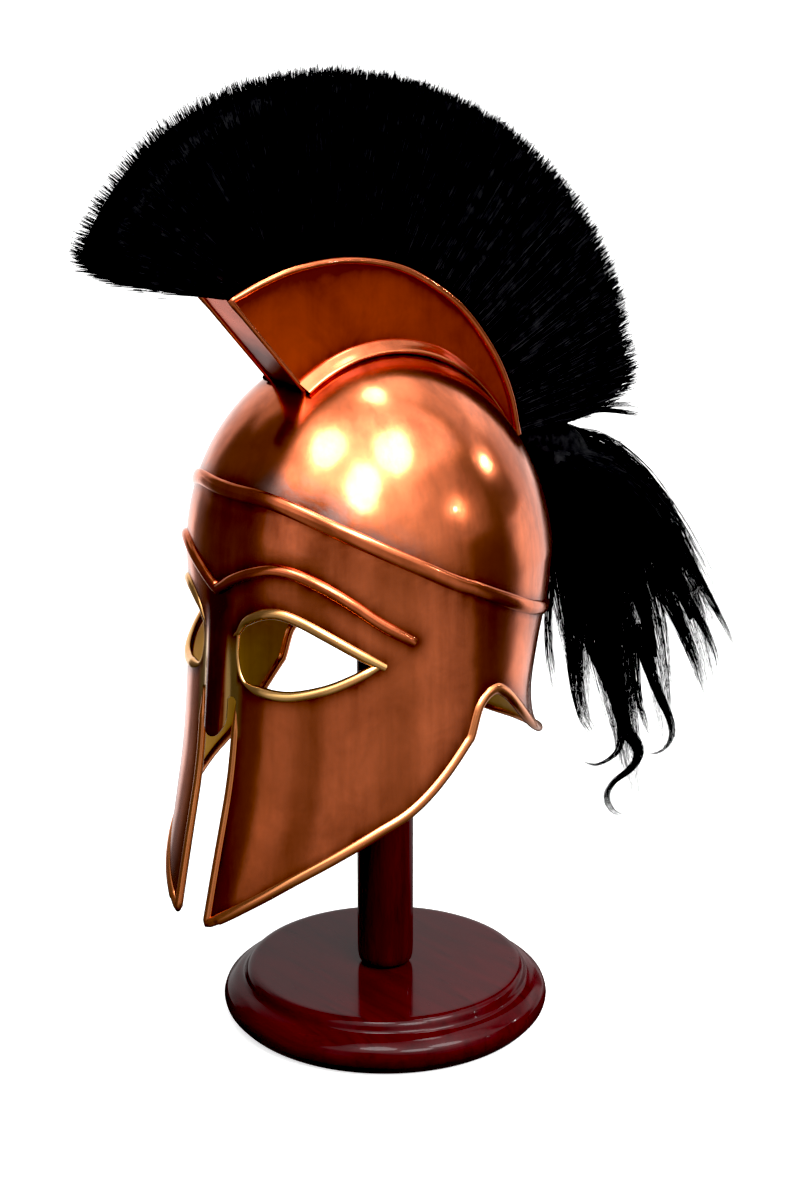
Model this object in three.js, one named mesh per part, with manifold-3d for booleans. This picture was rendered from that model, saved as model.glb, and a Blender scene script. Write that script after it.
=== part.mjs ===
// Crested Greek bronze helmet on a turned wooden display stand.
// Millimetres, +Z up. The origin is the middle of the stand's underside, and the helmet faces -Y.
import * as THREE from "three";
import { mergeVertices } from "three/addons/utils/BufferGeometryUtils.js";
import Module from "manifold-3d";

const wasm = await Module();
wasm.setup();

// ---------------------------------------------------------------- driving dimensions
const GAP = 0.3; // between two pieces that touch
const SHEET = 2; // raised metal sheet of the helmet and of the crest holder

const SKULL = {
  centreY: -11, // middle of the skull behind the post's axis
  brimZ: 330, // widest level, where the dome starts
  topZ: 472,
  lean: 11, // how far the crown sits in front of the skull's middle
};
// Horizontal sections below the dome: half length to the front and the back, half width,
// and how full the front half is (1 is an ellipse, less is squarer).
const SECTIONS = [
  { z: 330, front: 124, back: 131, half: 101, full: 0.9 },
  { z: 300, front: 124, back: 126, half: 101, full: 0.9 },
  { z: 270, front: 125.5, back: 116.5, half: 101, full: 0.89 },
  { z: 240, front: 127.5, back: 109.5, half: 101, full: 0.88 },
  { z: 218, front: 130, back: 111.5, half: 101, full: 0.88 },
  { z: 200, front: 133, back: 120, half: 101, full: 0.88 },
  { z: 186, front: 136, back: 132, half: 101, full: 0.88 },
  { z: 150, front: 144, back: 150, half: 100, full: 0.88 },
  { z: 108, front: 153, back: 160, half: 98, full: 0.88 },
];
// Lower edge round one side, by the angle from the front.
const LOWER_EDGE = [
  { angle: 0, z: 113 },
  { angle: 7, z: 115 },
  { angle: 25, z: 136 },
  { angle: 38, z: 152 },
  { angle: 50, z: 165.5 },
  { angle: 63, z: 180 },
  { angle: 73, z: 191 },
  { angle: 82, z: 208 },
  { angle: 90, z: 231 },
  { angle: 94, z: 251 },
  { angle: 101, z: 259 },
  { angle: 108, z: 253 },
  { angle: 117, z: 240 },
  { angle: 128, z: 224 },
  { angle: 142, z: 208 },
  { angle: 165, z: 190 },
  { angle: 180, z: 188 },
];
// Embossed ridge round the skull and over each eye, by the angle from the front.
const SKULL_RIDGE = [
  { angle: 0, z: 396 },
  { angle: 20, z: 395 },
  { angle: 36, z: 388 },
  { angle: 55, z: 373 },
  { angle: 73, z: 354 },
  { angle: 91, z: 331 },
  { angle: 109, z: 312 },
  { angle: 122, z: 301 },
  { angle: 140, z: 291 },
  { angle: 180, z: 286 },
];
const BROW_RIDGE = [
  { angle: 0, z: 332 },
  { angle: 8, z: 342 },
  { angle: 17, z: 349.5 },
  { angle: 25, z: 353 },
  { angle: 33, z: 351.5 },
  { angle: 42, z: 344.5 },
  { angle: 51, z: 333.5 },
  { angle: 60, z: 320 },
  { angle: 72, z: 304 },
];
// Almond eye opening, going round from its inner top corner.
const EYE = [
  { angle: 8.5, z: 307 },
  { angle: 12, z: 315.5 },
  { angle: 19, z: 322.5 },
  { angle: 26, z: 324.5 },
  { angle: 34, z: 320.5 },
  { angle: 43, z: 312 },
  { angle: 52, z: 302 },
  { angle: 61, z: 291.5 },
  { angle: 52, z: 283 },
  { angle: 42, z: 276 },
  { angle: 29, z: 271 },
  { angle: 17, z: 272 },
  { angle: 10.5, z: 277 },
  { angle: 8, z: 291 },
];
const SLOT = { topZ: 264, topHalf: 18, lowHalf: 16 };
const NASAL = { tipZ: 235, half: 11.5, proud: 5, brimZ: 322 };
const RIDGE = { skullHalf: 4.6, browHalf: 3.6, rise: 2.4 };
const RIM_RADIUS = 3;

// The crest holder is a trough of sheet that follows the crown. Its top edge in side view:
const CREST_TOP = [
  { y: -134, z: 519 },
  { y: -109, z: 527 },
  { y: -80, z: 532.5 },
  { y: -41, z: 532 },
  { y: -1, z: 522 },
  { y: 32, z: 503.5 },
  { y: 56, z: 483 },
  { y: 79, z: 453 },
  { y: 93, z: 424 },
  { y: 100, z: 396 },
];
const CREST = { half: 17, footY: -76, footZ: 452, lip: 1.6, flange: 4.5, flangeRise: 3 };

// Hair: the brush stands on the crest holder, the tail hangs behind it.
const BRUSH = { rootHalf: 14.2, tipHalf: 27, locks: 20, rootDepth: 2.5 };
// Direction and length of the brush's hair, by the share of the crest's length from its front.
const BRUSH_EDGE = [
  { along: 0, lean: 48, length: 106 },
  { along: 0.09, lean: 20, length: 114 },
  { along: 0.2, lean: 4, length: 115 },
  { along: 0.4, lean: 0, length: 115 },
  { along: 0.8, lean: 0, length: 116 },
  { along: 0.93, lean: -2, length: 116 },
  { along: 1, lean: -13, length: 119 },
];
// Across the brush: share of the hair's length, and of its half width there.
const BRUSH_SECTION = [
  { reach: 0, width: 1 },
  { reach: 0.45, width: 1 },
  { reach: 0.8, width: 0.98 },
  { reach: 0.93, width: 0.8 },
  { reach: 0.985, width: 0.45 },
];
const TAIL_HEAD = { y: 134, z: 370, radius: 19 };
// Locks of the tail: where each ends, its radius at the root and the tip, and how it waves.
const TAIL_LOCKS = [
  { x: 13, y: 296, z: 170, root: 17, tip: 2.2, curl: 0 },
  { x: -12, y: 317, z: 212, root: 15, tip: 2, curl: 4 },
  { x: -2, y: 270, z: 130, root: 18, tip: 2, curl: -6 },
  { x: -17, y: 247, z: 125, root: 18, tip: 2.2, curl: 6 },
  { x: 9, y: 224, z: 97, root: 20, tip: 2, curl: 8 },
  { x: 19, y: 206, z: 134, root: 17, tip: 2, curl: -6 },
  { x: -9, y: 190, z: 166, root: 17, tip: 2.2, curl: 0 },
  { x: 6, y: 168, z: 206, root: 15, tip: 2.4, curl: 0 },
];

const STAND = {
  base: [
    { r: 0, z: 0 },
    { r: 100, z: 0 },
    { r: 104, z: 3 },
    { r: 109.5, z: 9 },
    { r: 111, z: 15 },
    { r: 109, z: 21 },
    { r: 103, z: 26 },
    { r: 96.5, z: 28 },
    { r: 95.5, z: 32 },
    { r: 93.5, z: 35 },
    { r: 91, z: 36 },
    { r: 0, z: 36 },
  ],
  postRadius: 19,
  blockRadius: 42,
  blockZ: 428,
};

// ---------------------------------------------------------------- small tools
const rad = THREE.MathUtils.degToRad;
const clamp = THREE.MathUtils.clamp;

/** Smooth curve through one column of a table whose key column rises or falls steadily. */
function smooth(table, key, column, at) {
  const rows = table[0][key] < table.at(-1)[key] ? table : [...table].reverse();
  const x = clamp(at, rows[0][key], rows.at(-1)[key]);
  let i = 0;
  while (i < rows.length - 2 && rows[i + 1][key] < x) i += 1;
  const slope = (a, b) => (rows[b][column] - rows[a][column]) / (rows[b][key] - rows[a][key]);
  const tangent = (k) => slope(Math.max(k - 1, 0), Math.min(k + 1, rows.length - 1));
  const h = rows[i + 1][key] - rows[i][key];
  const t = (x - rows[i][key]) / h;
  const [t2, t3] = [t * t, t * t * t];
  return (
    (2 * t3 - 3 * t2 + 1) * rows[i][column] +
    (t3 - 2 * t2 + t) * h * tangent(i) +
    (3 * t2 - 2 * t3) * rows[i + 1][column] +
    (t3 - t2) * h * tangent(i + 1)
  );
}

/** Geometry from rings of points, joined ring to ring; open ends are closed with flat fans. */
function loft(rings, closed = false) {
  const n = rings[0].length;
  const points = rings.flat();
  const index = [];
  const joins = closed ? rings.length : rings.length - 1;
  for (let r = 0; r < joins; r += 1) {
    const next = ((r + 1) % rings.length) * n;
    for (let k = 0; k < n; k += 1) {
      const k2 = (k + 1) % n;
      index.push(r * n + k, r * n + k2, next + k2, r * n + k, next + k2, next + k);
    }
  }
  if (!closed) {
    const last = (rings.length - 1) * n;
    for (let k = 1; k < n - 1; k += 1) {
      index.push(0, k + 1, k, last, last + k, last + k + 1);
    }
  }
  const geometry = new THREE.BufferGeometry().setFromPoints(points);
  return geometry.setIndex(index);
}

/** Closed geometry to a solid for cutting and joining; turned right side out if needed. */
function solid(geometry) {
  const bare = new THREE.BufferGeometry();
  bare.setAttribute("position", geometry.getAttribute("position"));
  bare.setIndex(geometry.index);
  const merged = mergeVertices(bare, 1e-4);
  const build = (triVerts) =>
    new wasm.Manifold(
      new wasm.Mesh({ numProp: 3, vertProperties: merged.attributes.position.array, triVerts }),
    );
  const made = build(new Uint32Array(merged.index.array));
  if (made.volume() >= 0) return made;
  return build(new Uint32Array(merged.index.array).reverse());
}

function toMesh(name, body, material) {
  const mesh = body.getMesh();
  const geometry = new THREE.BufferGeometry();
  geometry.setAttribute("position", new THREE.BufferAttribute(new Float32Array(mesh.vertProperties), 3));
  geometry.setIndex(new THREE.BufferAttribute(new Uint32Array(mesh.triVerts), 1));
  geometry.computeVertexNormals();
  const made = new THREE.Mesh(geometry, material);
  made.name = name;
  return made;
}

const joined = (bodies) => bodies.reduce((all, body) => all.add(body));

// ---------------------------------------------------------------- the helmet's surface
/** A point of the outer surface, by the angle from the front (radians) and the height. */
function skin(angle, z) {
  const level = Math.min(z, SKULL.brimZ);
  const front = smooth(SECTIONS, "z", "front", level);
  const back = smooth(SECTIONS, "z", "back", level);
  const half = smooth(SECTIONS, "z", "half", level);
  const rise = clamp((z - SKULL.brimZ) / (SKULL.topZ - SKULL.brimZ), 0, 1);
  const fullness = THREE.MathUtils.lerp(smooth(SECTIONS, "z", "full", level), 1, rise);
  const [s, c] = [Math.sin(angle), Math.cos(angle)];
  const shrink = Math.sqrt(1 - rise * rise);
  const power = c > 0 ? fullness : 1;
  const x = half * Math.sign(s) * Math.abs(s) ** power;
  const y = c > 0 ? -front * c ** power : -back * c;
  const point = new THREE.Vector3(
    x * shrink,
    SKULL.centreY - SKULL.lean * Math.sin((rise * Math.PI) / 2) + y * shrink,
    z,
  );
  if (c > 0) {
    // The nasal stands proud of the face as a rounded strip, most of all at its tip.
    const across = Math.exp(-((point.x / NASAL.half) ** 4));
    const down = clamp((NASAL.brimZ - z) / (NASAL.brimZ - NASAL.tipZ), 0, 1);
    const up = clamp((z - 215) / 20, 0, 1);
    point.y -= NASAL.proud * across * Math.sqrt(down) * up;
  }
  return point;
}

function skinNormal(angle, z) {
  const step = 0.004;
  const around = skin(angle + step, z).sub(skin(angle - step, z));
  const up = skin(angle, Math.min(z + 0.4, SKULL.topZ - 0.01)).sub(skin(angle, z - 0.4));
  return around.cross(up).normalize();
}

/** The skin moved along its normal. */
function skinAt(angle, z, lift) {
  if (z > SKULL.topZ - 0.5) return skin(angle, z).add(new THREE.Vector3(0, 0, lift));
  return skin(angle, z).addScaledVector(skinNormal(angle, z), lift);
}

/** The angle at which the front of the face is `x` to the side of the middle. */
function angleAtX(x, z) {
  const half = smooth(SECTIONS, "z", "half", z);
  const fullness = smooth(SECTIONS, "z", "full", z);
  return Math.sign(x) * Math.asin((Math.abs(x) / half) ** (1 / fullness));
}

const lowerEdge = (angle) =>
  smooth(LOWER_EDGE, "angle", "z", Math.abs(THREE.MathUtils.radToDeg(angle)));

// Angles of the mesh columns: close together round the nasal, wider round the back.
const COLUMNS = (() => {
  const face = [3.5, 7, 10.5, 17, 26, 36, 47, 58];
  const right = [...face, 70, 82, 91, 97, 103, 113, 127, 145, 163];
  return [...right.map((a) => -a).reverse(), 0, ...right, 180].map(rad);
})();

const DOME_ROWS = [0.16, 0.33, 0.5, 0.66, 0.8, 0.92];
const FACE_ROWS = 10;
const EYE_STEPS = 24;
const CREST_STEPS = 12;

const ringAt = (zOf, lift) => COLUMNS.map((angle) => skinAt(angle, zOf(angle), lift));

/** Rings of the crown from its brim upwards. */
const crownRings = (lift) =>
  DOME_ROWS.map((t) => {
    const z = SKULL.brimZ + (SKULL.topZ - SKULL.brimZ) * Math.sin((t * Math.PI) / 2);
    return ringAt(() => z, lift);
  });

/** The wall between the skin lifted by `outer` and by `inner`, its lower edge let down by `drop`. */
function skullWall(outer, inner, drop) {
  const rings = (lift) => {
    const face = Array.from({ length: FACE_ROWS + 1 }, (_, k) =>
      ringAt((a) => THREE.MathUtils.lerp(lowerEdge(a) - drop, SKULL.brimZ, k / FACE_ROWS), lift),
    );
    return [...face, ...crownRings(lift)];
  };
  return solid(loft([...rings(outer).reverse(), ...rings(inner)]));
}

/** The crown as a full solid, its surface lifted by `lift`. */
const fullCrown = (lift) => solid(loft([ringAt(() => SKULL.brimZ, lift), ...crownRings(lift)]));

/** Radial cutter through the wall, with its outline on the skin. */
function radialCutter(outline, scaleIn, scaleOut) {
  const turned = THREE.ShapeUtils.isClockWise(outline.map(({ angle, z }) => ({ x: angle, y: z })));
  const round = turned ? [...outline].reverse() : outline;
  const ring = (scale) =>
    round.map(({ angle, z }) => {
      const p = skin(angle, z);
      return new THREE.Vector3(p.x * scale, SKULL.centreY + (p.y - SKULL.centreY) * scale, z);
    });
  const [inside, outside] = [ring(scaleIn), ring(scaleOut)];
  const n = round.length;
  const flat = round.map(({ angle, z }) => new THREE.Vector2(angle * 120, z));
  const faces = THREE.ShapeUtils.triangulateShape(flat, []);
  const index = [];
  for (const [a, b, c] of faces) index.push(a, b, c, n + a, n + c, n + b);
  for (let k = 0; k < n; k += 1) {
    const k2 = (k + 1) % n;
    index.push(k, n + k, n + k2, k, n + k2, k2);
  }
  return solid(new THREE.BufferGeometry().setFromPoints([...inside, ...outside]).setIndex(index));
}

/** The eye opening's outline, rounded through its table, drawn in by `inset` millimetres. */
function eyeOutline(side, count, inset = 0) {
  const corner = EYE.findIndex((row) => row.angle === 61);
  const toVector = (row) => new THREE.Vector3(row.angle, row.z, 0);
  const upper = new THREE.CatmullRomCurve3(EYE.slice(0, corner + 1).map(toVector));
  const lower = new THREE.CatmullRomCurve3([...EYE.slice(corner), EYE[0]].map(toVector));
  const half = count / 2;
  const points = [
    ...upper.getSpacedPoints(half).slice(0, -1),
    ...lower.getSpacedPoints(half).slice(0, -1),
  ];
  const middle = { angle: 31, z: 299 };
  return points.map((p) => {
    const reach = Math.hypot((p.x - middle.angle) * 2, p.y - middle.z);
    const keep = 1 - inset / reach;
    return {
      angle: side * rad(middle.angle + (p.x - middle.angle) * keep),
      z: middle.z + (p.y - middle.z) * keep,
    };
  });
}

/** Half width of the face slot between the cheek pieces. */
const slotHalf = (z) =>
  THREE.MathUtils.lerp(SLOT.lowHalf, SLOT.topHalf, clamp((z - 112) / (SLOT.topZ - 112), 0, 1));

/** Half width of the nasal where it hangs in the slot: a rounded tongue. */
function nasalHalf(z) {
  const round = clamp((z - NASAL.tipZ) / 16, 0, 1);
  return NASAL.half * Math.sqrt(1 - (1 - round) ** 2);
}

/** Prism through the face that opens the slot on both sides of the nasal. */
function slotCutter(inset) {
  const shape = new THREE.Shape();
  const low = 90;
  const levels = [SLOT.topZ, SLOT.topZ - 8, NASAL.tipZ + 10, NASAL.tipZ + 4, NASAL.tipZ + 1];
  shape.moveTo(-slotHalf(low) + inset, low);
  shape.lineTo(-slotHalf(SLOT.topZ) + inset, SLOT.topZ - inset);
  for (const z of levels) shape.lineTo(-nasalHalf(z) - inset, z - inset);
  shape.lineTo(0, NASAL.tipZ - inset);
  for (const z of [...levels].reverse()) shape.lineTo(nasalHalf(z) + inset, z - inset);
  shape.lineTo(slotHalf(SLOT.topZ) - inset, SLOT.topZ - inset);
  shape.lineTo(slotHalf(low) - inset, low);
  const depth = 160;
  const geometry = new THREE.ExtrudeGeometry(shape, { depth, bevelEnabled: false });
  geometry.rotateX(Math.PI / 2); // the shape's y becomes z, the depth runs to -Y
  geometry.translate(0, -45, 0);
  return solid(geometry);
}

/** Rows {point, normal} of a path that lies in the sheet. */
const inSheet = (angle, z, lift) => ({
  point: skinAt(angle, z, lift),
  normal: skinNormal(angle, z),
});

/** Sweep of a section with columns (across, out) along {point, normal} rows. */
function sweep(path, section, closed) {
  const n = path.length;
  const rings = path.map(({ point, normal }, i) => {
    const before = path[closed ? (i + n - 1) % n : Math.max(i - 1, 0)].point;
    const after = path[closed ? (i + 1) % n : Math.min(i + 1, n - 1)].point;
    const along = after.clone().sub(before).normalize();
    const across = new THREE.Vector3().crossVectors(normal, along).normalize();
    const out = new THREE.Vector3().crossVectors(along, across);
    return section(i / (n - 1)).map(({ a, o }) =>
      point.clone().addScaledVector(across, a).addScaledVector(out, o),
    );
  });
  return solid(loft(rings, closed));
}

const circle = (radius, sides) =>
  Array.from({ length: sides }, (_, k) => {
    const turn = ((k + 0.5) / sides) * 2 * Math.PI;
    return { a: radius * Math.cos(turn), o: radius * Math.sin(turn) };
  });

// ---------------------------------------------------------------- helmet pieces
/** Low rounded ridge, sunk into the sheet from below. */
const ridgeSection = (half, rise) => () => [
  { a: -half, o: -SHEET * 0.5 },
  { a: half, o: -SHEET * 0.5 },
  { a: half * 0.85, o: rise * 0.45 },
  { a: half * 0.35, o: rise },
  { a: -half * 0.35, o: rise },
  { a: -half * 0.85, o: rise * 0.45 },
];

function skullRidge() {
  const steps = 40;
  const path = Array.from({ length: steps }, (_, k) => {
    const degrees = (k / steps) * 360 - 180;
    return inSheet(rad(degrees), smooth(SKULL_RIDGE, "angle", "z", Math.abs(degrees)), 0);
  });
  return sweep(path, ridgeSection(RIDGE.skullHalf, RIDGE.rise), true);
}

function browRidges() {
  const steps = 24;
  const reach = BROW_RIDGE.at(-1).angle;
  const path = Array.from({ length: steps + 1 }, (_, k) => {
    const degrees = (k / steps) * 2 * reach - reach;
    return inSheet(rad(degrees), smooth(BROW_RIDGE, "angle", "z", Math.abs(degrees)), 0);
  });
  const fade = (t) => ridgeSection(RIDGE.browHalf, RIDGE.rise * clamp(8 * Math.min(t, 1 - t), 0.15, 1))();
  return sweep(path, fade, false);
}

function openedSkull(grow) {
  const lift = grow ? grow : 0;
  const wall = skullWall(lift, -SHEET - lift, lift);
  const cutters = [-1, 1].map((side) => radialCutter(eyeOutline(side, EYE_STEPS, lift), 0.8, 1.2));
  return [...cutters, slotCutter(lift)].reduce((body, cutter) => body.subtract(cutter), wall);
}

const helmetShell = openedSkull(0).add(skullRidge()).add(browRidges());
const roomForShell = openedSkull(GAP);

function eyeRim(side) {
  const path = eyeOutline(side, EYE_STEPS).map(({ angle, z }) => inSheet(angle, z, -SHEET / 2));
  return sweep(path, () => circle(RIM_RADIUS, 5), true).subtract(roomForShell);
}

/** The rim's way from the top of the slot, down a cheek's front edge and along its lower edge. */
function edgeRim() {
  const front = [SLOT.topZ - 2, 242, 220, 195, 170, 145, 124].map((z) => {
    const angle = angleAtX(slotHalf(z), z);
    return { angle, z };
  });
  const tipAngle = angleAtX(slotHalf(114), 114);
  const tip = { angle: tipAngle, z: lowerEdge(tipAngle) };
  const cheek = [16, 26, 36, 46, 56, 66, 74, 80, 86, 90, 93, 97, 102, 107];
  const around = [...cheek, 113, 121, 131, 142, 154, 167].map((degrees) => {
    const angle = rad(degrees);
    return { angle, z: lowerEdge(angle) };
  });
  const right = [...front, tip, ...around];
  const left = [...right].reverse().map(({ angle, z }) => ({ angle: -angle, z }));
  const path = [...right, { angle: Math.PI, z: lowerEdge(Math.PI) }, ...left].map(({ angle, z }) =>
    inSheet(angle, z, -SHEET / 2),
  );
  return sweep(path, () => circle(RIM_RADIUS, 5), false).subtract(roomForShell);
}

// ---------------------------------------------------------------- crest holder
const crestCurve = new THREE.CatmullRomCurve3(
  CREST_TOP.map(({ y, z }) => new THREE.Vector3(0, y, z)),
);

/** Point of the crest's top edge and the direction square to it, in side view. */
function crestAt(along) {
  const point = crestCurve.getPointAt(along);
  const way = crestCurve.getTangentAt(along);
  return { point, out: new THREE.Vector3(0, -way.z, way.y) };
}

/** Side outline of the crest, its front drawn in by `inset`; `open` carries it on past the top. */
function crestOutline(inset, open = 0) {
  const shape = new THREE.Shape();
  const top = crestCurve.getSpacedPoints(CREST_STEPS).map((p) => new THREE.Vector2(p.y, p.z));
  const [first, last] = [top[0], top.at(-1)];
  shape.moveTo(CREST.footY + 14 + inset, CREST.footZ - 15);
  shape.lineTo(CREST.footY + inset, CREST.footZ);
  if (open) {
    shape.lineTo(first.x + inset, first.y);
    shape.lineTo(first.x + inset, first.y + open);
    shape.lineTo(last.x + open, first.y + open);
    shape.lineTo(last.x + open, last.y - open);
  } else {
    shape.lineTo(first.x + inset, first.y);
    top.slice(1).forEach((p) => shape.lineTo(p.x, p.y));
  }
  shape.lineTo(60, 385);
  return shape;
}

/** Slab between x = -half and x = half from an outline in (y, z). */
function slab(shape, half) {
  const geometry = new THREE.ExtrudeGeometry(shape, { depth: 2 * half, bevelEnabled: false });
  const turn = new THREE.Matrix4().makeBasis(
    new THREE.Vector3(0, 1, 0),
    new THREE.Vector3(0, 0, 1),
    new THREE.Vector3(1, 0, 0),
  );
  geometry.applyMatrix4(turn);
  geometry.translate(-half, 0, 0);
  return solid(geometry);
}

/** Rolled edge up a front corner and along the top of one side. */
function crestLip(side) {
  const x = side * CREST.half;
  const normal = new THREE.Vector3(side, 0, 0);
  const front = [0, 0.33, 0.66].map((t) => {
    const y = THREE.MathUtils.lerp(CREST.footY, CREST_TOP[0].y, t);
    const z = THREE.MathUtils.lerp(CREST.footZ, CREST_TOP[0].z, t);
    return new THREE.Vector3(x, y, z);
  });
  const top = crestCurve.getSpacedPoints(CREST_STEPS).map((p) => new THREE.Vector3(x, p.y, p.z));
  const path = [...front, ...top].map((point) => ({ point, normal }));
  return sweep(path, () => circle(CREST.lip, 5), false);
}

function crestHolder() {
  const outline = crestOutline(0);
  const walls = slab(outline, CREST.half).subtract(
    slab(crestOutline(SHEET, 40), CREST.half - SHEET),
  );
  const flange = slab(outline, CREST.half + CREST.flange).intersect(fullCrown(CREST.flangeRise));
  return joined([walls, flange, crestLip(1), crestLip(-1)]).subtract(fullCrown(GAP));
}

// ---------------------------------------------------------------- hair
/** Brush of stiff hair: locks side by side along the crest, on a bar that fills the trough. */
function plumeBrush() {
  const stations = 2 * BRUSH.locks;
  const rings = Array.from({ length: stations + 1 }, (_, i) => {
    const along = i / stations;
    const { point, out } = crestAt(THREE.MathUtils.lerp(0.03, 0.985, along));
    const way = out.clone().applyAxisAngle(
      new THREE.Vector3(1, 0, 0),
      rad(smooth(BRUSH_EDGE, "along", "lean", along)),
    );
    const groove = i % 2 ? 1 : 0.955;
    const length = smooth(BRUSH_EDGE, "along", "length", along) * groove;
    const root = point.clone().addScaledVector(out, -BRUSH.rootDepth);
    const half = [];
    for (const { reach, width } of BRUSH_SECTION) {
      const spread = THREE.MathUtils.lerp(BRUSH.rootHalf, BRUSH.tipHalf * groove, reach);
      half.push({ x: spread * width, d: length * reach });
    }
    const left = [...half].reverse().map(({ x, d }) => ({ x: -x, d }));
    return [...half, { x: 0, d: length }, ...left].map(({ x, d }) =>
      root.clone().addScaledVector(way, d).add(new THREE.Vector3(x, 0, 0)),
    );
  });
  const bar = slab(crestOutline(SHEET + GAP), BRUSH.rootHalf);
  return solid(loft(rings)).add(bar).subtract(fullCrown(CREST.flangeRise + GAP));
}

/** Loose tail of long hair: tapering locks that bow back from one head and fall. */
function plumeTail() {
  const head = new THREE.Vector3(0, TAIL_HEAD.y, TAIL_HEAD.z);
  const knot = new THREE.SphereGeometry(TAIL_HEAD.radius, 10, 7);
  knot.rotateX(Math.PI / 2);
  knot.translate(head.x, head.y, head.z);
  const locks = TAIL_LOCKS.map(({ x, y, z, root, tip, curl }) => {
    const [dy, dz] = [y - head.y, z - head.z];
    const curve = new THREE.CubicBezierCurve3(
      head.clone().setX(x * 0.4),
      new THREE.Vector3(x * 0.8, head.y + 0.42 * dy, head.z + 5),
      new THREE.Vector3(x, head.y + 0.78 * dy, head.z + 0.42 * dz),
      new THREE.Vector3(x, y, z),
    );
    const steps = 10;
    const path = curve.getSpacedPoints(steps).map((point, i) => {
      const t = i / steps;
      point.y += curl * t * t * Math.sin(t * 2.2 * Math.PI);
      return { point, normal: new THREE.Vector3(1, 0, 0) };
    });
    const radius = (t) => tip + (root - tip) * (1 - t ** 3) * (0.7 + 0.45 * Math.sin(Math.PI * t));
    return sweep(path, (t) => circle(radius(t), 6), false);
  });
  return joined([solid(knot), ...locks]);
}

// ---------------------------------------------------------------- stand
const turned = (rows) =>
  new THREE.LatheGeometry(rows.map(({ r, z }) => new THREE.Vector2(r, z)), 32).rotateX(Math.PI / 2);

const cylinder = (radius, low, high) =>
  solid(turned([{ r: 0, z: low }, { r: radius, z: low }, { r: radius, z: high }, { r: 0, z: high }]));

const standTop = STAND.base.at(-1).z;
const standBase = () => solid(turned(STAND.base));
const standPost = () => cylinder(STAND.postRadius, standTop + GAP, STAND.blockZ - GAP);

/** Block on the post, rounded to the inside of the crown, which carries the helmet. */
const standBlock = () =>
  cylinder(STAND.blockRadius, STAND.blockZ, SKULL.topZ + 10).intersect(fullCrown(-SHEET - GAP));

// ---------------------------------------------------------------- the model
const metal = (color, roughness) => () =>
  new THREE.MeshStandardMaterial({ color, roughness, metalness: 0.9 });
const plain = (color, roughness) => () =>
  new THREE.MeshStandardMaterial({ color, roughness, metalness: 0 });
const copper = metal(0xb5673a, 0.32);
const brass = metal(0xc9974a, 0.3);
const hair = plain(0x070708, 0.8);
const wood = plain(0x4a1016, 0.15);

const model = new THREE.Group();
model.name = "greek_bronze_helmet";
model.add(toMesh("helmet_shell", helmetShell, copper()));
model.add(toMesh("eye_rim_left", eyeRim(1), brass()));
model.add(toMesh("eye_rim_right", eyeRim(-1), brass()));
model.add(toMesh("edge_rim", edgeRim(), brass()));
model.add(toMesh("crest_holder", crestHolder(), copper()));
model.add(toMesh("plume_brush", plumeBrush(), hair()));
model.add(toMesh("plume_tail", plumeTail(), hair()));
model.add(toMesh("stand_base", standBase(), wood()));
model.add(toMesh("stand_post", standPost(), wood()));
model.add(toMesh("stand_block", standBlock(), wood()));

export default model;
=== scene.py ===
"""Crested Greek bronze helmet on its turned wooden stand: metal finish, horsehair, lacquer and studio.

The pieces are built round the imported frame. Tables and sizes are in millimetres, meshes in metres.
"""

import math

import bpy
import numpy as np
from bpy.props import FloatProperty, FloatVectorProperty, IntProperty, PointerProperty
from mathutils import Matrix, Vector


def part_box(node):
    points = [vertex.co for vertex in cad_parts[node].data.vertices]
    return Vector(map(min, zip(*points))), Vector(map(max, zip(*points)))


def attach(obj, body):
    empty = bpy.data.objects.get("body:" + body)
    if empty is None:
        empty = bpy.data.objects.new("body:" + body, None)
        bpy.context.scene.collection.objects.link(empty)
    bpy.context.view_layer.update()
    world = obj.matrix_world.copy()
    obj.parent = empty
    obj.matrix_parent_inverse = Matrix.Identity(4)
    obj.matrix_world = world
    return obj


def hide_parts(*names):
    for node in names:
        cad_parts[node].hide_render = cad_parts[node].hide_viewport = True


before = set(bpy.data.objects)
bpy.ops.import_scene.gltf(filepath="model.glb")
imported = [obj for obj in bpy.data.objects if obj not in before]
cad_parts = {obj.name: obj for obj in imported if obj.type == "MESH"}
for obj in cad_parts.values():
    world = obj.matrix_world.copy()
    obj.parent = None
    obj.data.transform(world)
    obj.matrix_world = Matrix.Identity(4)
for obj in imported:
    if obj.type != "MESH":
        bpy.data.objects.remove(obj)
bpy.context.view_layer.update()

bl_info = {
    "name": "Greek bronze helmet",
    "version": (1, 0, 0),
    "blender": (4, 5, 0),
    "location": "View3D > Sidebar > Helmet",
    "description": "Builds a crested bronze helmet with horsehair plume on a wooden display stand",
    "category": "Object",
}

MM = 0.001
BODY = "root"

# ------------------------------------------------------------------ the helmet's own sizes, in mm
SKULL_CENTRE_Y = -11.0
BRIM_Z = 330.0
TOP_Z = 472.0
CROWN_LEAN = 11.0
SHEET = 2.0
# Rows of the shell's grid over the face and the crown, and the share of the crown that they cover.
FACE_ROWS, CROWN_ROWS, CROWN_REACH = 118, 46, 0.985

# Horizontal sections: height, half length to the front and back, half width, fullness of the front.
SECTIONS = np.array([
    (108, 153, 160, 98, 0.88), (150, 144, 150, 100, 0.88), (186, 136, 132, 101, 0.88),
    (200, 133, 120, 101, 0.88), (218, 130, 111.5, 101, 0.88), (240, 127.5, 109.5, 101, 0.88),
    (270, 125.5, 116.5, 101, 0.89), (300, 124, 126, 101, 0.9), (330, 124, 131, 101, 0.9),
])
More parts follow.
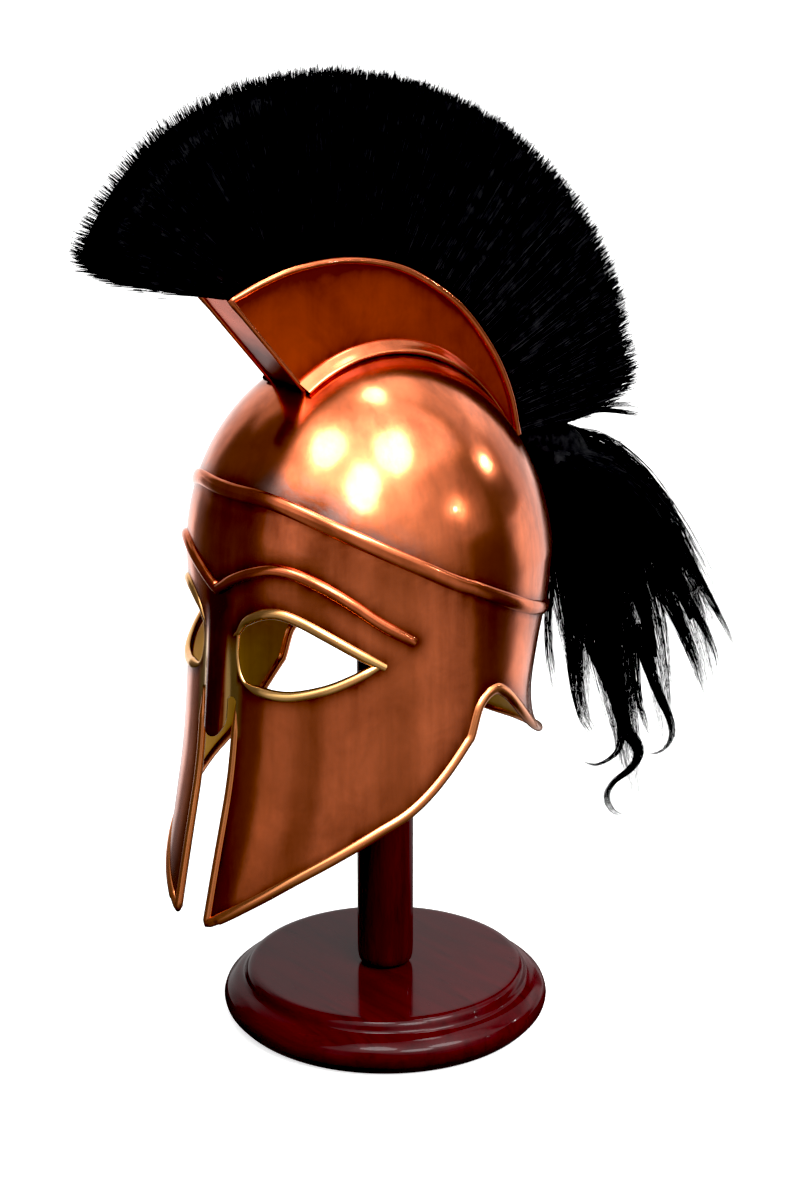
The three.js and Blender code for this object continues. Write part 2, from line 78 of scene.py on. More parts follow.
# Angle from the front in degrees, height.
LOWER_EDGE = np.array([
    (0, 113), (7, 115), (25, 136), (38, 152), (50, 165.5), (63, 180), (73, 191), (82, 208),
    (90, 231), (94, 251), (101, 259), (108, 253), (117, 240), (128, 224), (142, 208), (165, 190),
    (180, 188),
])
SKULL_RIDGE = np.array([
    (0, 396), (20, 395), (36, 388), (55, 373), (73, 354), (91, 331), (109, 312), (122, 301),
    (140, 291), (180, 286),
])
BROW_RIDGE = np.array([
    (0, 332), (8, 342), (17, 349.5), (25, 353), (33, 351.5), (42, 344.5), (51, 333.5), (60, 320),
    (72, 304),
])
EYE = np.array([
    (8.5, 307), (12, 315.5), (19, 322.5), (26, 324.5), (34, 320.5), (43, 312), (52, 302),
    (61, 291.5), (52, 283), (42, 276), (29, 271), (17, 272), (10.5, 277), (8, 291),
])
EYE_CORNER = 7
# The upper eye rim starts beside the nose guard, before the eye's own corner.
EYE_FOLD = [(5.3, 301), (6.2, 303.2), (7.2, 305.2)]
# Thickness of the eye rims by the angle from the front: degrees, share of the full radius.
UPPER_RIM = ((5.3, 8.5, 13, 20, 56, 64), (0.15, 0.5, 0.85, 1.05, 0.95, 0.7))
LOWER_RIM = ((8.5, 12, 18, 56, 61), (0.35, 0.4, 1.0, 0.9, 0.6))
SLOT_TOP_Z = 264.0
SLOT_HALF_TOP = 18.0
SLOT_HALF_LOW = 16.0
SLOT_LOW_Z = 112.0
# The cut for the slot starts here, below the tips of the cheek pieces.
SLOT_CUT_Z = 95.0
# Where the edge rim's straight stretch beside the slot ends, and the tip that it then turns round.
CHEEK_FRONT_Z, CHEEK_TIP_Z = 117.0, 114.0
# Thickness of the edge rim beside the slot, up to this angle in degrees: height, share of the full radius.
SLOT_RIM = ((120, SLOT_TOP_Z - 22, SLOT_TOP_Z - 2), (0.85, 0.8, 0.15))
SLOT_RIM_DEGREES = 12
# How much wider and higher than a round bar the eye rims and the edge rim are.
EYE_RIM_SHAPE, EDGE_RIM_SHAPE = (1.25, 1.1), (1.3, 1.0)
NASAL_TIP_Z = 235.0
NASAL_HALF = 11.5
NASAL_PROUD = 5.0
NASAL_BRIM_Z = 322.0
NASAL_ROUND = 16.0
# The nose guard's step starts at this height and grows to its full depth over the next millimetres.
NASAL_FADE_Z = 215.0
NASAL_FADE = 20.0
# Distance from the middle of the gilt strips beside the nose guard, where they end at the top, and
# how wide and how high their feet are.
GILT_IN, GILT_OUT, GILT_TOP_Z = 9.8, 19.0, 306.0
GILT_FOOT_OUT, GILT_FOOT_Z = 24.0, 276.0
# How far the skull ridge's crest is moved to one side, as a share of its half width.
RIDGE_SKEW = 0.3
# A darker band below the skull ridge: its depth, how far below its middle lies, half its width.
BAND_DARK, BAND_BELOW, BAND_HALF = 0.28, 12, 12
# Darker towards the bottom of the cheeks: its depth, where it begins, the height over which it deepens.
CHEEK_DARK, CHEEK_DARK_Z, CHEEK_DARK_REACH = 0.34, 215, 100
# Darker metal on the nose guard, and painted shade inside behind it: depth, half width in degrees.
NOSE_DARK, NOSE_DARK_HALF = 0.6, 6.5
BEHIND_NOSE_PAINTED_SHADE, BEHIND_DARK_HALF, BEHIND_DARK_Z = 0.85, 16, 300

CREST_TOP = np.array([
    (-134, 519), (-109, 527), (-80, 532.5), (-41, 532), (-1, 522), (32, 503.5), (56, 483),
    (79, 453), (93, 424), (100, 396),
])
CREST_HALF = 17.0
CREST_FOOT = (-76.0, 452.0)
# How far the crest's sides bulge inwards, and their height, near enough for the painted shade at their
# edges.
CREST_BELLY, CREST_HEIGHT = 0.6, 60
# Radius of the rolled edge, and the lowest point of the crest's sides.
CREST_LIP = 2.1
CREST_SEAT_Z = 385.0
# Painted shadow on the crown round the foot of the crest: its depth, and how far it spreads beside and
# ahead of it.
CREST_PAINTED_SHADOW, SHADE_BESIDE, SHADE_AHEAD = 0.82, 13, 6
# Section of the curved flange at the foot of the crest: (out, up).
CREST_COVE = (
    (-0.4, 8.0), (0.8, 7.8), (1.8, 6.9), (3.1, 5.5), (4.7, 4.0), (6.3, 2.7), (7.5, 1.6),
    (7.7, 0.8), (6.8, -0.6), (-0.4, -1.0),
)

# Seeds of the random hairs.
BRUSH_SEED, TAIL_SEED = 11, 5
# Shares of the brush's hairs that lie along its flat sides or stick out, and of the tail's stray hairs.
SIDE_HAIRS, STRAY_HAIRS, FLYAWAY_HAIRS = 0.35, 0.04, 0.07
BRUSH_ROOT_HALF = 14.2
BRUSH_TIP_HALF = 27.0
# Share of the crest's length from its front, the hair's lean in degrees and its length.
BRUSH_EDGE = np.array([
    (-0.05, 57, 66), (-0.03, 55, 90), (-0.015, 52, 101), (0, 48, 106), (0.09, 20, 114),
    (0.2, 4, 115), (0.4, 0, 115), (0.8, 0, 115), (0.93, 1, 112), (1, -3, 108), (1.02, -6, 86),
    (1.04, -9, 58),
])
# The tail's locks spread from here; they part from each other past this share of their length.
TAIL_HEAD = np.array((0.0, 134.0, 370.0))
LOCK_PARTING = 0.38
# Each lock's end (x, y, z), radius at the root and the tip, and how it waves.
TAIL_LOCKS = np.array([
    (13, 296, 170, 17, 2.2, 0), (-12, 317, 212, 15, 2, 4), (-2, 270, 130, 18, 2, -6),
    (-17, 247, 125, 18, 2.2, 6), (9, 224, 97, 20, 2, 8), (19, 206, 134, 17, 2, -6),
    (-9, 190, 166, 17, 2.2, 0), (6, 168, 206, 15, 2.4, 0),
])
# Where the tail comes out of the rear end of the crest holder.
TAIL_NECK = np.array([(0, 100, 392), (0, 114, 389), (0, 132, 382), (0, 153, 375), (0, 172, 360)])
# Loose curls and stray hairs: path, radius at the root and at the tip, number of hairs.
TAIL_WISPS = (
    (((-1, 190, 230), (-1, 212, 185), (-1, 224, 152), (-1, 238, 132), (-1, 231, 120), (-1, 212, 113),
      (0, 205, 104), (1, 210, 93), (1, 219, 87), (1, 228, 88)), 8, 1.2, 260),
    (((4, 200, 220), (4, 212, 180), (4, 215, 150), (5, 208, 138), (5, 190, 134),
      (6, 174, 142)), 7, 0.8, 120),
    (((-4, 235, 225), (-4, 258, 172), (-4, 271, 148), (-4, 274, 133), (-4, 264, 124),
      (-4, 247, 125)), 6, 1, 160),
    (((-6, 232, 225), (-6, 240, 175), (-6, 248, 150), (-6, 255, 138), (-7, 262, 133)), 5, 1, 90),
    (((0, 240, 290), (0, 276, 245), (0, 300, 212), (0, 312, 190), (0, 316, 172)), 7, 1, 150),
    (((4, 245, 310), (4, 282, 262), (4, 306, 228), (4, 322, 203), (4, 330, 186)), 6, 0.6, 120),
    (((8, 240, 270), (8, 268, 222), (8, 284, 190), (8, 296, 160)), 8, 1.5, 150),
    (((0, 148, 330), (0, 147, 280), (0, 146, 240), (0, 152, 206), (0, 162, 188)), 4, 2.5, 110),
    (((0, 170, 260), (0, 172, 210), (0, 180, 175), (0, 196, 150)), 8, 3, 160),
    (((0, 112, 386), (0, 140, 390), (0, 163, 392), (0, 188, 394), (0, 210, 390),
      (0, 230, 384)), 2.4, 2.2, 300),
    (((0, 118, 386), (0, 159, 392), (0, 190, 396), (0, 215, 394), (0, 238, 386)), 2, 3, 70),
    (((0, 118, 384), (0, 152, 390), (0, 171, 384), (0, 190, 376), (0, 210, 368),
      (0, 226, 366)), 1.6, 1.2, 46),
    (((2, 120, 388), (2, 160, 393), (2, 180, 399), (2, 206, 398)), 1.5, 2, 24),
    (((0, 150, 386), (0, 190, 374), (0, 231, 343), (0, 262, 304), (0, 290, 258)), 5, 9, 130),
    (((0, 160, 378), (0, 215, 353), (0, 262, 304), (0, 300, 246), (0, 328, 196)), 6, 9, 120),
)
# Turned profile of the base: radius, height.
BASE_PROFILE = np.array([
    (0, 0), (100, 0), (104, 3), (109.5, 9), (111, 15), (109, 21), (103, 26), (96.5, 28),
    (95.5, 32), (93.5, 35), (91, 36), (0, 36),
])
# Turned profiles stop just short of the axis, so that no face shrinks to a line.
AXIS_RADIUS = 0.05


# ------------------------------------------------------------------ settings a user would change
COLOUR = {"subtype": "COLOR", "min": 0, "max": 1}


class HelmetMetal(bpy.types.PropertyGroup):
    """Colours and wear of the metal."""

    copper: FloatVectorProperty(
        name="Copper", description="Bright polished copper bronze",
        default=(0.86, 0.21, 0.078), **COLOUR,
    )
    # The patina colour is also the colour of the painted shade that the mesh's mask carries.
    patina: FloatVectorProperty(
        name="Patina", description="Dark red brown left in the recesses",
        default=(0.16, 0.022, 0.006), **COLOUR,
    )
    brass: FloatVectorProperty(
        name="Brass", description="Golden rims",
        default=(0.95, 0.56, 0.2), **COLOUR,
    )
    lining: FloatVectorProperty(
        name="Inside", description="Unpolished brass of the inside",
        default=(0.86, 0.47, 0.075), **COLOUR,
    )
    rim_radius: FloatProperty(
        name="Rim radius", description="Radius of the soldered rims", default=3.0 * MM, unit="LENGTH",
    )
    ridge_rise: FloatProperty(
        name="Ridge rise", description="Height of the embossed ridges", default=2.6 * MM, unit="LENGTH",
    )


class HelmetHair(bpy.types.PropertyGroup):
    """Amount and colour of the horsehair."""

    colour: FloatVectorProperty(
        name="Hair", description="Dyed black horsehair",
        default=(0.002, 0.002, 0.0022), **COLOUR,
    )
    brush_hairs: IntProperty(
        name="Brush hairs", description="Short stiff hairs of the plume", default=38000, min=100,
    )
    tail_hairs: IntProperty(
        name="Tail hairs", description="Long loose hairs of the tail", default=5200, min=100,
    )
    width: FloatProperty(
        name="Hair width", description="Width of one modelled hair", default=0.55 * MM, unit="LENGTH",
    )


class HelmetStand(bpy.types.PropertyGroup):
    """Finish of the wooden stand."""

    wood: FloatVectorProperty(
        name="Wood", description="Dark cherry stain",
        default=(0.042, 0.001, 0.002), **COLOUR,
    )
    vein: FloatVectorProperty(
        name="Vein", description="Darker grain under the lacquer",
        default=(0.015, 0.0003, 0.0006), **COLOUR,
    )


# ------------------------------------------------------------------ curves through tables
def through(table, column, at):
    """Smooth curve through one column of a table, by its first column."""
    x = table[:, 0]
    y = table[:, column]
    at = np.clip(at, x[0], x[-1])
    slope = np.empty(len(x))
    slope[1:-1] = (y[2:] - y[:-2]) / (x[2:] - x[:-2])
    slope[0] = (y[1] - y[0]) / (x[1] - x[0])
    slope[-1] = (y[-1] - y[-2]) / (x[-1] - x[-2])
    i = np.clip(np.searchsorted(x, at) - 1, 0, len(x) - 2)
    h = x[i + 1] - x[i]
    t = (at - x[i]) / h
    t2, t3 = t * t, t * t * t
    return (
        (2 * t3 - 3 * t2 + 1) * y[i]
        + (t3 - 2 * t2 + t) * h * slope[i]
        + (3 * t2 - 2 * t3) * y[i + 1]
        + (t3 - t2) * h * slope[i + 1]
    )


def spaced(points, count):
    """`count` points evenly along a Catmull-Rom curve through `points`."""
    p = np.asarray(points, float)
    p = np.vstack([2 * p[0] - p[1], p, 2 * p[-1] - p[-2]])
    t = np.linspace(0, 1, 24, endpoint=False)[:, None]
    runs = []
    for a, b, c, d in zip(p[:-3], p[1:-2], p[2:-1], p[3:]):
        square, cube = 2 * a - 5 * b + 4 * c - d, 3 * b - a - 3 * c + d
        runs.append(0.5 * (2 * b + (c - a) * t + square * t**2 + cube * t**3))
    fine = np.vstack(runs + [p[-2][None]])
    length = np.concatenate([[0], np.cumsum(np.linalg.norm(np.diff(fine, axis=0), axis=1))])
    where = np.linspace(0, length[-1], count)
    return np.stack([np.interp(where, length, fine[:, k]) for k in range(p.shape[1])], 1)


def unit(v):
    return v / np.maximum(np.linalg.norm(v, axis=-1, keepdims=True), 1e-9)


# ------------------------------------------------------------------ the helmet's surface
def skin(angle, z):
    """Points of the outer surface in mm, by the angle from the front in radians and the height."""
    angle, z = np.broadcast_arrays(np.asarray(angle, float), np.asarray(z, float))
    level = np.minimum(z, BRIM_Z)
    front, back, half, full = (through(SECTIONS, k, level) for k in (1, 2, 3, 4))
    rise = np.clip((z - BRIM_Z) / (TOP_Z - BRIM_Z), 0, 1)
    full = full + (1 - full) * rise
    s, c = np.sin(angle), np.cos(angle)
    shrink = np.sqrt(np.maximum(1 - rise**2, 0))
    power = np.where(c > 0, full, 1)
    x = half * np.sign(s) * np.abs(s) ** power * shrink
    y = np.where(c > 0, -front * np.abs(c) ** power, -back * c) * shrink
    y = y + SKULL_CENTRE_Y - CROWN_LEAN * np.sin(rise * math.pi / 2)
    across = np.exp(-((x / NASAL_HALF) ** 4))
    down = np.clip((NASAL_BRIM_Z - z) / (NASAL_BRIM_Z - NASAL_TIP_Z), 0, 1)
    up = np.clip((z - NASAL_FADE_Z) / NASAL_FADE, 0, 1)
    y = np.where(c > 0, y - NASAL_PROUD * across * np.sqrt(down) * up, y)
    return np.stack([x, y, z], -1)


def skin_normal(angle, z):
    """Outward normals of the outer surface."""
    step = 0.004
    around = skin(angle + step, z) - skin(angle - step, z)
    z = np.asarray(z, float)
    up = skin(angle, np.minimum(z + 0.4, TOP_Z - 0.001)) - skin(angle, z - 0.4)
    return unit(np.cross(around, up))


def skin_at(angle, z, lift):
    """Points lifted off the outer surface along its normals."""
    return skin(angle, z) + skin_normal(angle, z) * lift


def angle_at_x(x, z):
    """Angle from the front at which the face has a given x."""
    half, full = through(SECTIONS, 3, z), through(SECTIONS, 4, z)
    return np.sign(x) * np.arcsin(np.clip(np.abs(x) / half, 0, 1) ** (1 / full))


def lower_edge(degrees):
    return through(LOWER_EDGE, 1, np.abs(degrees))


def slot_half(z):
    t = np.clip((z - SLOT_LOW_Z) / (SLOT_TOP_Z - SLOT_LOW_Z), 0, 1)
    return SLOT_HALF_LOW + (SLOT_HALF_TOP - SLOT_HALF_LOW) * t


def nasal_half(z):
    t = np.clip((z - NASAL_TIP_Z) / NASAL_ROUND, 0, 1)
    return NASAL_HALF * np.sqrt(1 - (1 - t) ** 2)


def eye_outline(side, count):
    """Closed outline of an eye opening as (degrees, height)."""
    upper = spaced(EYE[: EYE_CORNER + 1] * (2, 1), count // 2 + 1)[:-1]
    lower = spaced(np.vstack([EYE[EYE_CORNER:], EYE[:1]]) * (2, 1), count - count // 2 + 1)[:-1]
    return np.vstack([upper, lower]) * (side / 2, 1)


def slot_outline():
    """Closed outline of the slot round the nasal as (degrees, height)."""
    side_z = np.linspace(SLOT_CUT_Z, SLOT_TOP_Z, 60)
    tongue_z = NASAL_TIP_Z + (SLOT_TOP_Z - NASAL_TIP_Z) * np.linspace(1, 0, 40) ** 2
    x = np.concatenate([slot_half(side_z), nasal_half(tongue_z)])
    z = np.concatenate([side_z, tongue_z])
    degrees = np.degrees(angle_at_x(x, np.maximum(z, SECTIONS[0, 0])))
    right = np.stack([degrees, z], 1)
    left = right[::-1] * (-1, 1)
    return np.vstack([right, left])


def inside(points, outline):
    """Which (degrees, height) points lie inside a closed outline."""
    x, y = points[:, 0][:, None], points[:, 1][:, None]
    a, b = outline, np.roll(outline, -1, 0)
    crosses = (a[:, 1] > y) != (b[:, 1] > y)
    span = np.where(b[:, 1] == a[:, 1], 1, b[:, 1] - a[:, 1])
    at = a[:, 0] + (y - a[:, 1]) / span * (b[:, 0] - a[:, 0])
    return (crosses & (x < at)).sum(1) % 2 == 1


# Length of a degree round the face, near enough for distances on the flat.
MM_PER_DEGREE = 1.9


def nearest(points, outline, closed=True):
    """Nearest point of an outline to each point, and how far it is in mm."""
    scale = np.array((MM_PER_DEGREE, 1.0))
    a = outline * scale
    b = np.roll(a, -1, 0)
    if not closed:
        a, b = a[:-1], b[:-1]
    p = points * scale
    best = np.full(len(p), 1e9)
    foot = np.zeros_like(p)
    for s, e in zip(a, b):
        d = e - s
        t = np.clip(((p - s) @ d) / max(d @ d, 1e-9), 0, 1)
        q = s + t[:, None] * d
        gap = np.linalg.norm(p - q, axis=1)
        closer = gap < best
        best[closer] = gap[closer]
        foot[closer] = q[closer]
    return foot / scale, best


# ------------------------------------------------------------------ meshes
def merge(parts):
    """Joins (points, faces) parts with faces of the same size."""
    points, faces, start = [], [], 0
    for p, f in parts:
        points.append(p)
        faces.append(f + start)
        start += len(p)
    return np.vstack(points), np.vstack(faces)


def mesh_object(name, points, faces, normals=None, face_material=None, masks=None):
    """Mesh object in metres from points in mm."""
    mesh = bpy.data.meshes.new(name)
    faces = np.asarray(faces, np.int32)
    size = faces.shape[1]
    mesh.vertices.add(len(points))
    mesh.vertices.foreach_set("co", (np.asarray(points, float) * MM).astype(np.float32).ravel())
    mesh.loops.add(faces.size)
    mesh.loops.foreach_set("vertex_index", faces.ravel())
    mesh.polygons.add(len(faces))
    mesh.polygons.foreach_set("loop_start", np.arange(0, faces.size, size, dtype=np.int32))
    mesh.update(calc_edges=True)
    mesh.polygons.foreach_set("use_smooth", np.ones(len(faces), bool))
    if face_material is not None:
        mesh.polygons.foreach_set("material_index", np.asarray(face_material, np.int32))
    for key, values in (masks or {}).items():
        mesh.attributes.new(key, "FLOAT", "POINT").data.foreach_set("value", values.astype(np.float32))
    if normals is not None:
        mesh.normals_split_custom_set_from_vertices(normals.astype(np.float32))
    mesh.validate()
    item = bpy.data.objects.new(name, mesh)
    bpy.context.scene.collection.objects.link(item)
    return item


def grid_faces(rows, columns, wrap=False):
    """Quads of a grid of points, rows by columns."""
    r = np.arange(rows - 1)[:, None]
    c = np.arange(columns if wrap else columns - 1)[None]
    c2 = (c + 1) % columns
    quads = np.stack([r * columns + c, r * columns + c2, (r + 1) * columns + c2, (r + 1) * columns + c], -1)
    return quads.reshape(-1, 4)


def add_piece(item, node, slot, *materials):
    """Rides a mesh on the body, in the place of a CAD node if it replaces one."""
    for material in materials:
        item.data.materials.append(material)
    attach(item, BODY)
    if node:
        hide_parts(node)


def sweep(path, normals, section, closed=False):
    """Grid of points (row, column, xyz) of a section (across, out) swept along a path."""
    if closed:
        along = np.roll(path, -1, 0) - np.roll(path, 1, 0)
    else:
        along = np.gradient(path, axis=0)
    along = unit(along)
    across = unit(np.cross(normals, along))
    out = np.cross(along, across)
    section = np.asarray(section, float)
    if section.ndim == 2:
        section = np.broadcast_to(section, (len(path),) + section.shape)
    return (
        path[:, None]
        + across[:, None] * section[..., 0:1]
        + out[:, None] * section[..., 1:2]
    )


def swept_mesh(path, normals, section, closed=False, ring=True):
    """Points and faces of a swept section; `ring` says that the section is a closed outline."""
    grid = sweep(path, normals, section, closed)
    rows, columns = grid.shape[:2]
    points = grid.reshape(-1, 3)
    if closed:
        faces = grid_faces(rows + 1, columns, ring) % (rows * columns)
    else:
        faces = grid_faces(rows, columns, ring)
    return points, faces


def circle(radius, sides):
    turn = np.arange(sides) / sides * 2 * math.pi
    return radius * np.stack([np.cos(turn), np.sin(turn)], 1)


def end_caps(rows, columns):
    """Quads that close both ends of a swept ring with an even number of columns."""
    caps = []
    for row, turn in ((0, 1), (rows - 1, -1)):
        corners = row * columns + np.arange(columns)
        for k in range(columns // 2 - 1):
            caps.append([corners[k], corners[k + 1], corners[-k - 2], corners[-k - 1]][::turn])
    return caps


def tube(path, radius, sides):
    """A swept round bar along a path in the plane x = 0, with a radius at each point."""
    normals = np.tile((1.0, 0.0, 0.0), (len(path), 1))
    return swept_mesh(path, normals, np.stack([circle(r, sides) for r in radius]))


# ------------------------------------------------------------------ node groups and materials
class Nodes:
    """Adds and joins the nodes of one tree."""

    def __init__(self, tree):
        self.tree = tree

    def add(self, kind, values=None, **settings):
        node = self.tree.nodes.new(kind)
        for key, value in settings.items():
            setattr(node, key, value)
        for key, value in (values or {}).items():
            self.feed(node.inputs[key], value)
        return node

    def feed(self, socket, value):
        if isinstance(value, bpy.types.NodeSocket):
            self.tree.links.new(value, socket)
        else:
            socket.default_value = value

    def join(self, a, b):
        self.tree.links.new(a, b)

    def math(self, operation, a, b=0.0, clamp=False):
        node = self.add("ShaderNodeMath", {0: a, 1: b}, operation=operation)
        node.use_clamp = clamp
        return node.outputs[0]

    def plus(self, a, b, clamp=False):
        return self.math("ADD", a, b, clamp)

    def times(self, a, b):
        return self.math("MULTIPLY", a, b)

    def noise(self, vector, scale, detail=4.0, rough=0.55, distort=0.0):
        values = {"Vector": vector, "Scale": scale, "Detail": detail}
        values.update({"Roughness": rough, "Distortion": distort})
        return self.add("ShaderNodeTexNoise", values).outputs["Fac"]

    def stretch(self, vector, scale):
        return self.add("ShaderNodeMapping", {"Vector": vector, "Scale": scale}).outputs[0]

    def remap(self, value, low, high, to_low=0.0, to_high=1.0, way="LINEAR"):
        values = {"Value": value, "From Min": low, "From Max": high, "To Min": to_low, "To Max": to_high}
        return self.add("ShaderNodeMapRange", values, interpolation_type=way).outputs[0]

    def mix(self, factor, a, b):
        node = self.add("ShaderNodeMix", data_type="RGBA")
        for socket, value in ((node.inputs[0], factor), (node.inputs[6], a), (node.inputs[7], b)):
            self.feed(socket, value)
        return node.outputs[2]

    def dot(self, vector, way):
        values = {0: vector, 1: tuple(way)}
        return self.add("ShaderNodeVectorMath", values, operation="DOT_PRODUCT").outputs["Value"]

    def bump(self, surface, strength, distance, height):
        values = {"Strength": strength, "Distance": distance, "Height": height}
        self.join(self.add("ShaderNodeBump", values).outputs[0], surface.inputs["Normal"])

    def split_by_ray(self, others, camera, output):
        """Shows `camera` to the camera and `others` to every other ray."""
        seen = self.add("ShaderNodeLightPath").outputs["Is Camera Ray"]
        both = self.add("ShaderNodeMixShader", {0: seen, 1: others.outputs[0], 2: camera.outputs[0]})
        self.join(both.outputs[0], output.inputs["Surface"])


def new_group(name, inputs, outputs):
    """Shader node group with named inputs {name: (kind, default)} and outputs {name: kind}."""
    group = bpy.data.node_groups.new(name, "ShaderNodeTree")
    for key, (kind, default) in inputs.items():
        socket = group.interface.new_socket(name=key, in_out="INPUT", socket_type=kind)
        if default is not None:
            socket.default_value = default
    for key, kind in outputs.items():
        group.interface.new_socket(name=key, in_out="OUTPUT", socket_type=kind)
    nodes = Nodes(group)
    return group, nodes, nodes.add("NodeGroupInput").outputs, nodes.add("NodeGroupOutput").inputs


WHITE = (1.0, 1.0, 1.0, 1.0)
# The pale cloudy bloom on the skull.
HAZE = (0.34, 0.19, 0.16)


def rgba(colour):
    return (*colour, 1.0)


def aged_metal_group():
    """Cloudy patina over bright metal: darker in drifting clouds and streaks, and by the mesh's mask of
    darkening and painted shade.
    """
    group, n, put, out = new_group(
        "aged_metal",
        {
            "Bright": ("NodeSocketColor", None),
            "Dark": ("NodeSocketColor", None),
            "Darkening and painted shade": ("NodeSocketFloat", 0.0),
            "Clouds": ("NodeSocketFloat", 0.5),
            "Streaks": ("NodeSocketFloat", 0.3),
            "Polish": ("NodeSocketFloat", 0.3),
        },
        {"Color": "NodeSocketColor", "Roughness": "NodeSocketFloat", "Height": "NodeSocketFloat"},
    )
    place = n.add("ShaderNodeTexCoord").outputs["Object"]
    clouds = n.remap(n.noise(place, 13.0, 5.0, 0.6, 0.4), 0.38, 0.68)
    blotches = n.remap(n.noise(place, 42.0, 6.0, 0.65, 0.8), 0.4, 0.75)
    streaks = n.remap(n.noise(n.stretch(place, (46.0, 46.0, 5.0)), 1.0, 4.0, 0.6), 0.42, 0.72)
    dark = n.times(clouds, put["Clouds"])
    dark = n.plus(dark, n.times(blotches, n.times(put["Clouds"], 0.45)))
    dark = n.plus(dark, n.times(streaks, put["Streaks"]))
    # Adds the mesh's darkening and painted shade.
    dark = n.plus(dark, put["Darkening and painted shade"], clamp=True)
    n.join(n.mix(dark, put["Bright"], put["Dark"]), out["Color"])
    fine = n.noise(place, 900.0, 3.0, 0.7)
    rough = n.plus(put["Polish"], n.times(dark, 0.1))
    rough = n.plus(rough, n.times(n.remap(fine, 0.3, 0.7, -0.5, 0.5), 0.05))
    n.join(rough, out["Roughness"])
    dents = n.noise(place, 22.0, 2.0, 0.4)
    height = n.plus(dents, n.times(fine, 0.02))
    n.join(height, out["Height"])
    return group


def material(name):
    """New material: itself, its nodes, its Principled shader and its output node."""
    made = bpy.data.materials.new(name)
    made.use_nodes = True
    made.node_tree.nodes.clear()
    n = Nodes(made.node_tree)
    surface = n.add("ShaderNodeBsdfPrincipled")
    output = n.add("ShaderNodeOutputMaterial")
    n.join(surface.outputs[0], output.inputs["Surface"])
    return made, n, surface, output


def set_values(node, values):
    for key, value in values.items():
        node.inputs[key].default_value = value


def metal_material(name, group, bright, dark, clouds, streaks, polish, coat, dent, masked, gold):
    """Aged metal; `masked` reads the mesh's mask of darkening and painted shade, `gold` adds its gilt and
    haze.
    """
    made, n, surface, _ = material(name)
    aged = n.add("ShaderNodeGroup", node_tree=group)
    set_values(aged, {"Bright": rgba(bright), "Dark": rgba(dark)})
    set_values(aged, {"Clouds": clouds, "Streaks": streaks, "Polish": polish})
    if masked:
        darkening_and_painted_shade = n.add("ShaderNodeAttribute", attribute_name="darkening_and_painted_shade")
        n.join(darkening_and_painted_shade.outputs["Fac"], aged.inputs["Darkening and painted shade"])
    colour = aged.outputs["Color"]
    if gold:
        haze = n.add("ShaderNodeAttribute", attribute_name="haze")
        place = n.add("ShaderNodeTexCoord").outputs["Object"]
        patch = n.remap(n.noise(place, 34.0, 5.0, 0.65, 0.6), 0.38, 0.58)
        colour = n.mix(n.times(haze.outputs["Fac"], patch), colour, rgba(HAZE))
        gilt = n.add("ShaderNodeAttribute", attribute_name="gilt")
        colour = n.mix(gilt.outputs["Fac"], colour, rgba(gold))
    n.join(colour, surface.inputs["Base Color"])
    n.join(aged.outputs["Roughness"], surface.inputs["Roughness"])
    n.bump(surface, 0.35, dent, aged.outputs["Height"])
    set_values(surface, {"Metallic": 1.0, "Coat Weight": coat, "Coat Roughness": 0.06})
    return made


def hair_material(name, colour):
    """Dull black hair; its faintly lighter strands are partly random tone, partly painted glints."""
    made, n, surface, _ = material(name)
    place = n.add("ShaderNodeTexCoord").outputs["Object"]
    # Lighter patches: partly random tone, partly painted glints.
    shade = n.remap(n.noise(place, 160.0, 3.0), 0.35, 0.7)
    lighter_tone_and_glint = tuple(min(1.0, 4.0 * c) for c in colour)
    n.join(n.mix(shade, rgba(colour), rgba(lighter_tone_and_glint)), surface.inputs["Base Color"])
    n.join(n.remap(n.noise(place, 300.0, 2.0), 0.3, 0.7, 0.42, 0.62), surface.inputs["Roughness"])
    n.bump(surface, 0.4, 0.0004, n.noise(place, 1200.0))
    set_values(surface, {"Specular IOR Level": 0.025})
    return made


def wood_material(name, wood, vein, stretch):
    """Stained wood under a gloss lacquer, its fine grain drawn out by `stretch`."""
    made, n, surface, _ = material(name)
    place = n.add("ShaderNodeTexCoord").outputs["Object"]
    along = n.stretch(place, stretch)
    rings = n.remap(n.noise(along, 9.0, 6.0, 0.6, 1.2), 0.35, 0.7)
    pores = n.remap(n.noise(along, 60.0, 3.0, 0.7), 0.5, 0.75)
    grain = n.plus(n.times(rings, 0.7), n.times(pores, 0.35), clamp=True)
    n.join(n.mix(grain, rgba(wood), rgba(vein)), surface.inputs["Base Color"])
    n.join(n.remap(pores, 0.0, 1.0, 0.2, 0.3), surface.inputs["Roughness"])
    n.bump(surface, 0.2, 0.0006, n.noise(place, 14.0, 2.0, 0.4))
    set_values(surface, {"Coat Weight": 0.19, "Coat Roughness": 0.035, "Specular IOR Level": 0.045})
    return made


MATERIALS = {}
# Scale of the wood's noise in x, y and z: smallest along the grain.
GRAIN = {"turned_wood": (1, 9, 9), "post_wood": (9, 9, 1)}


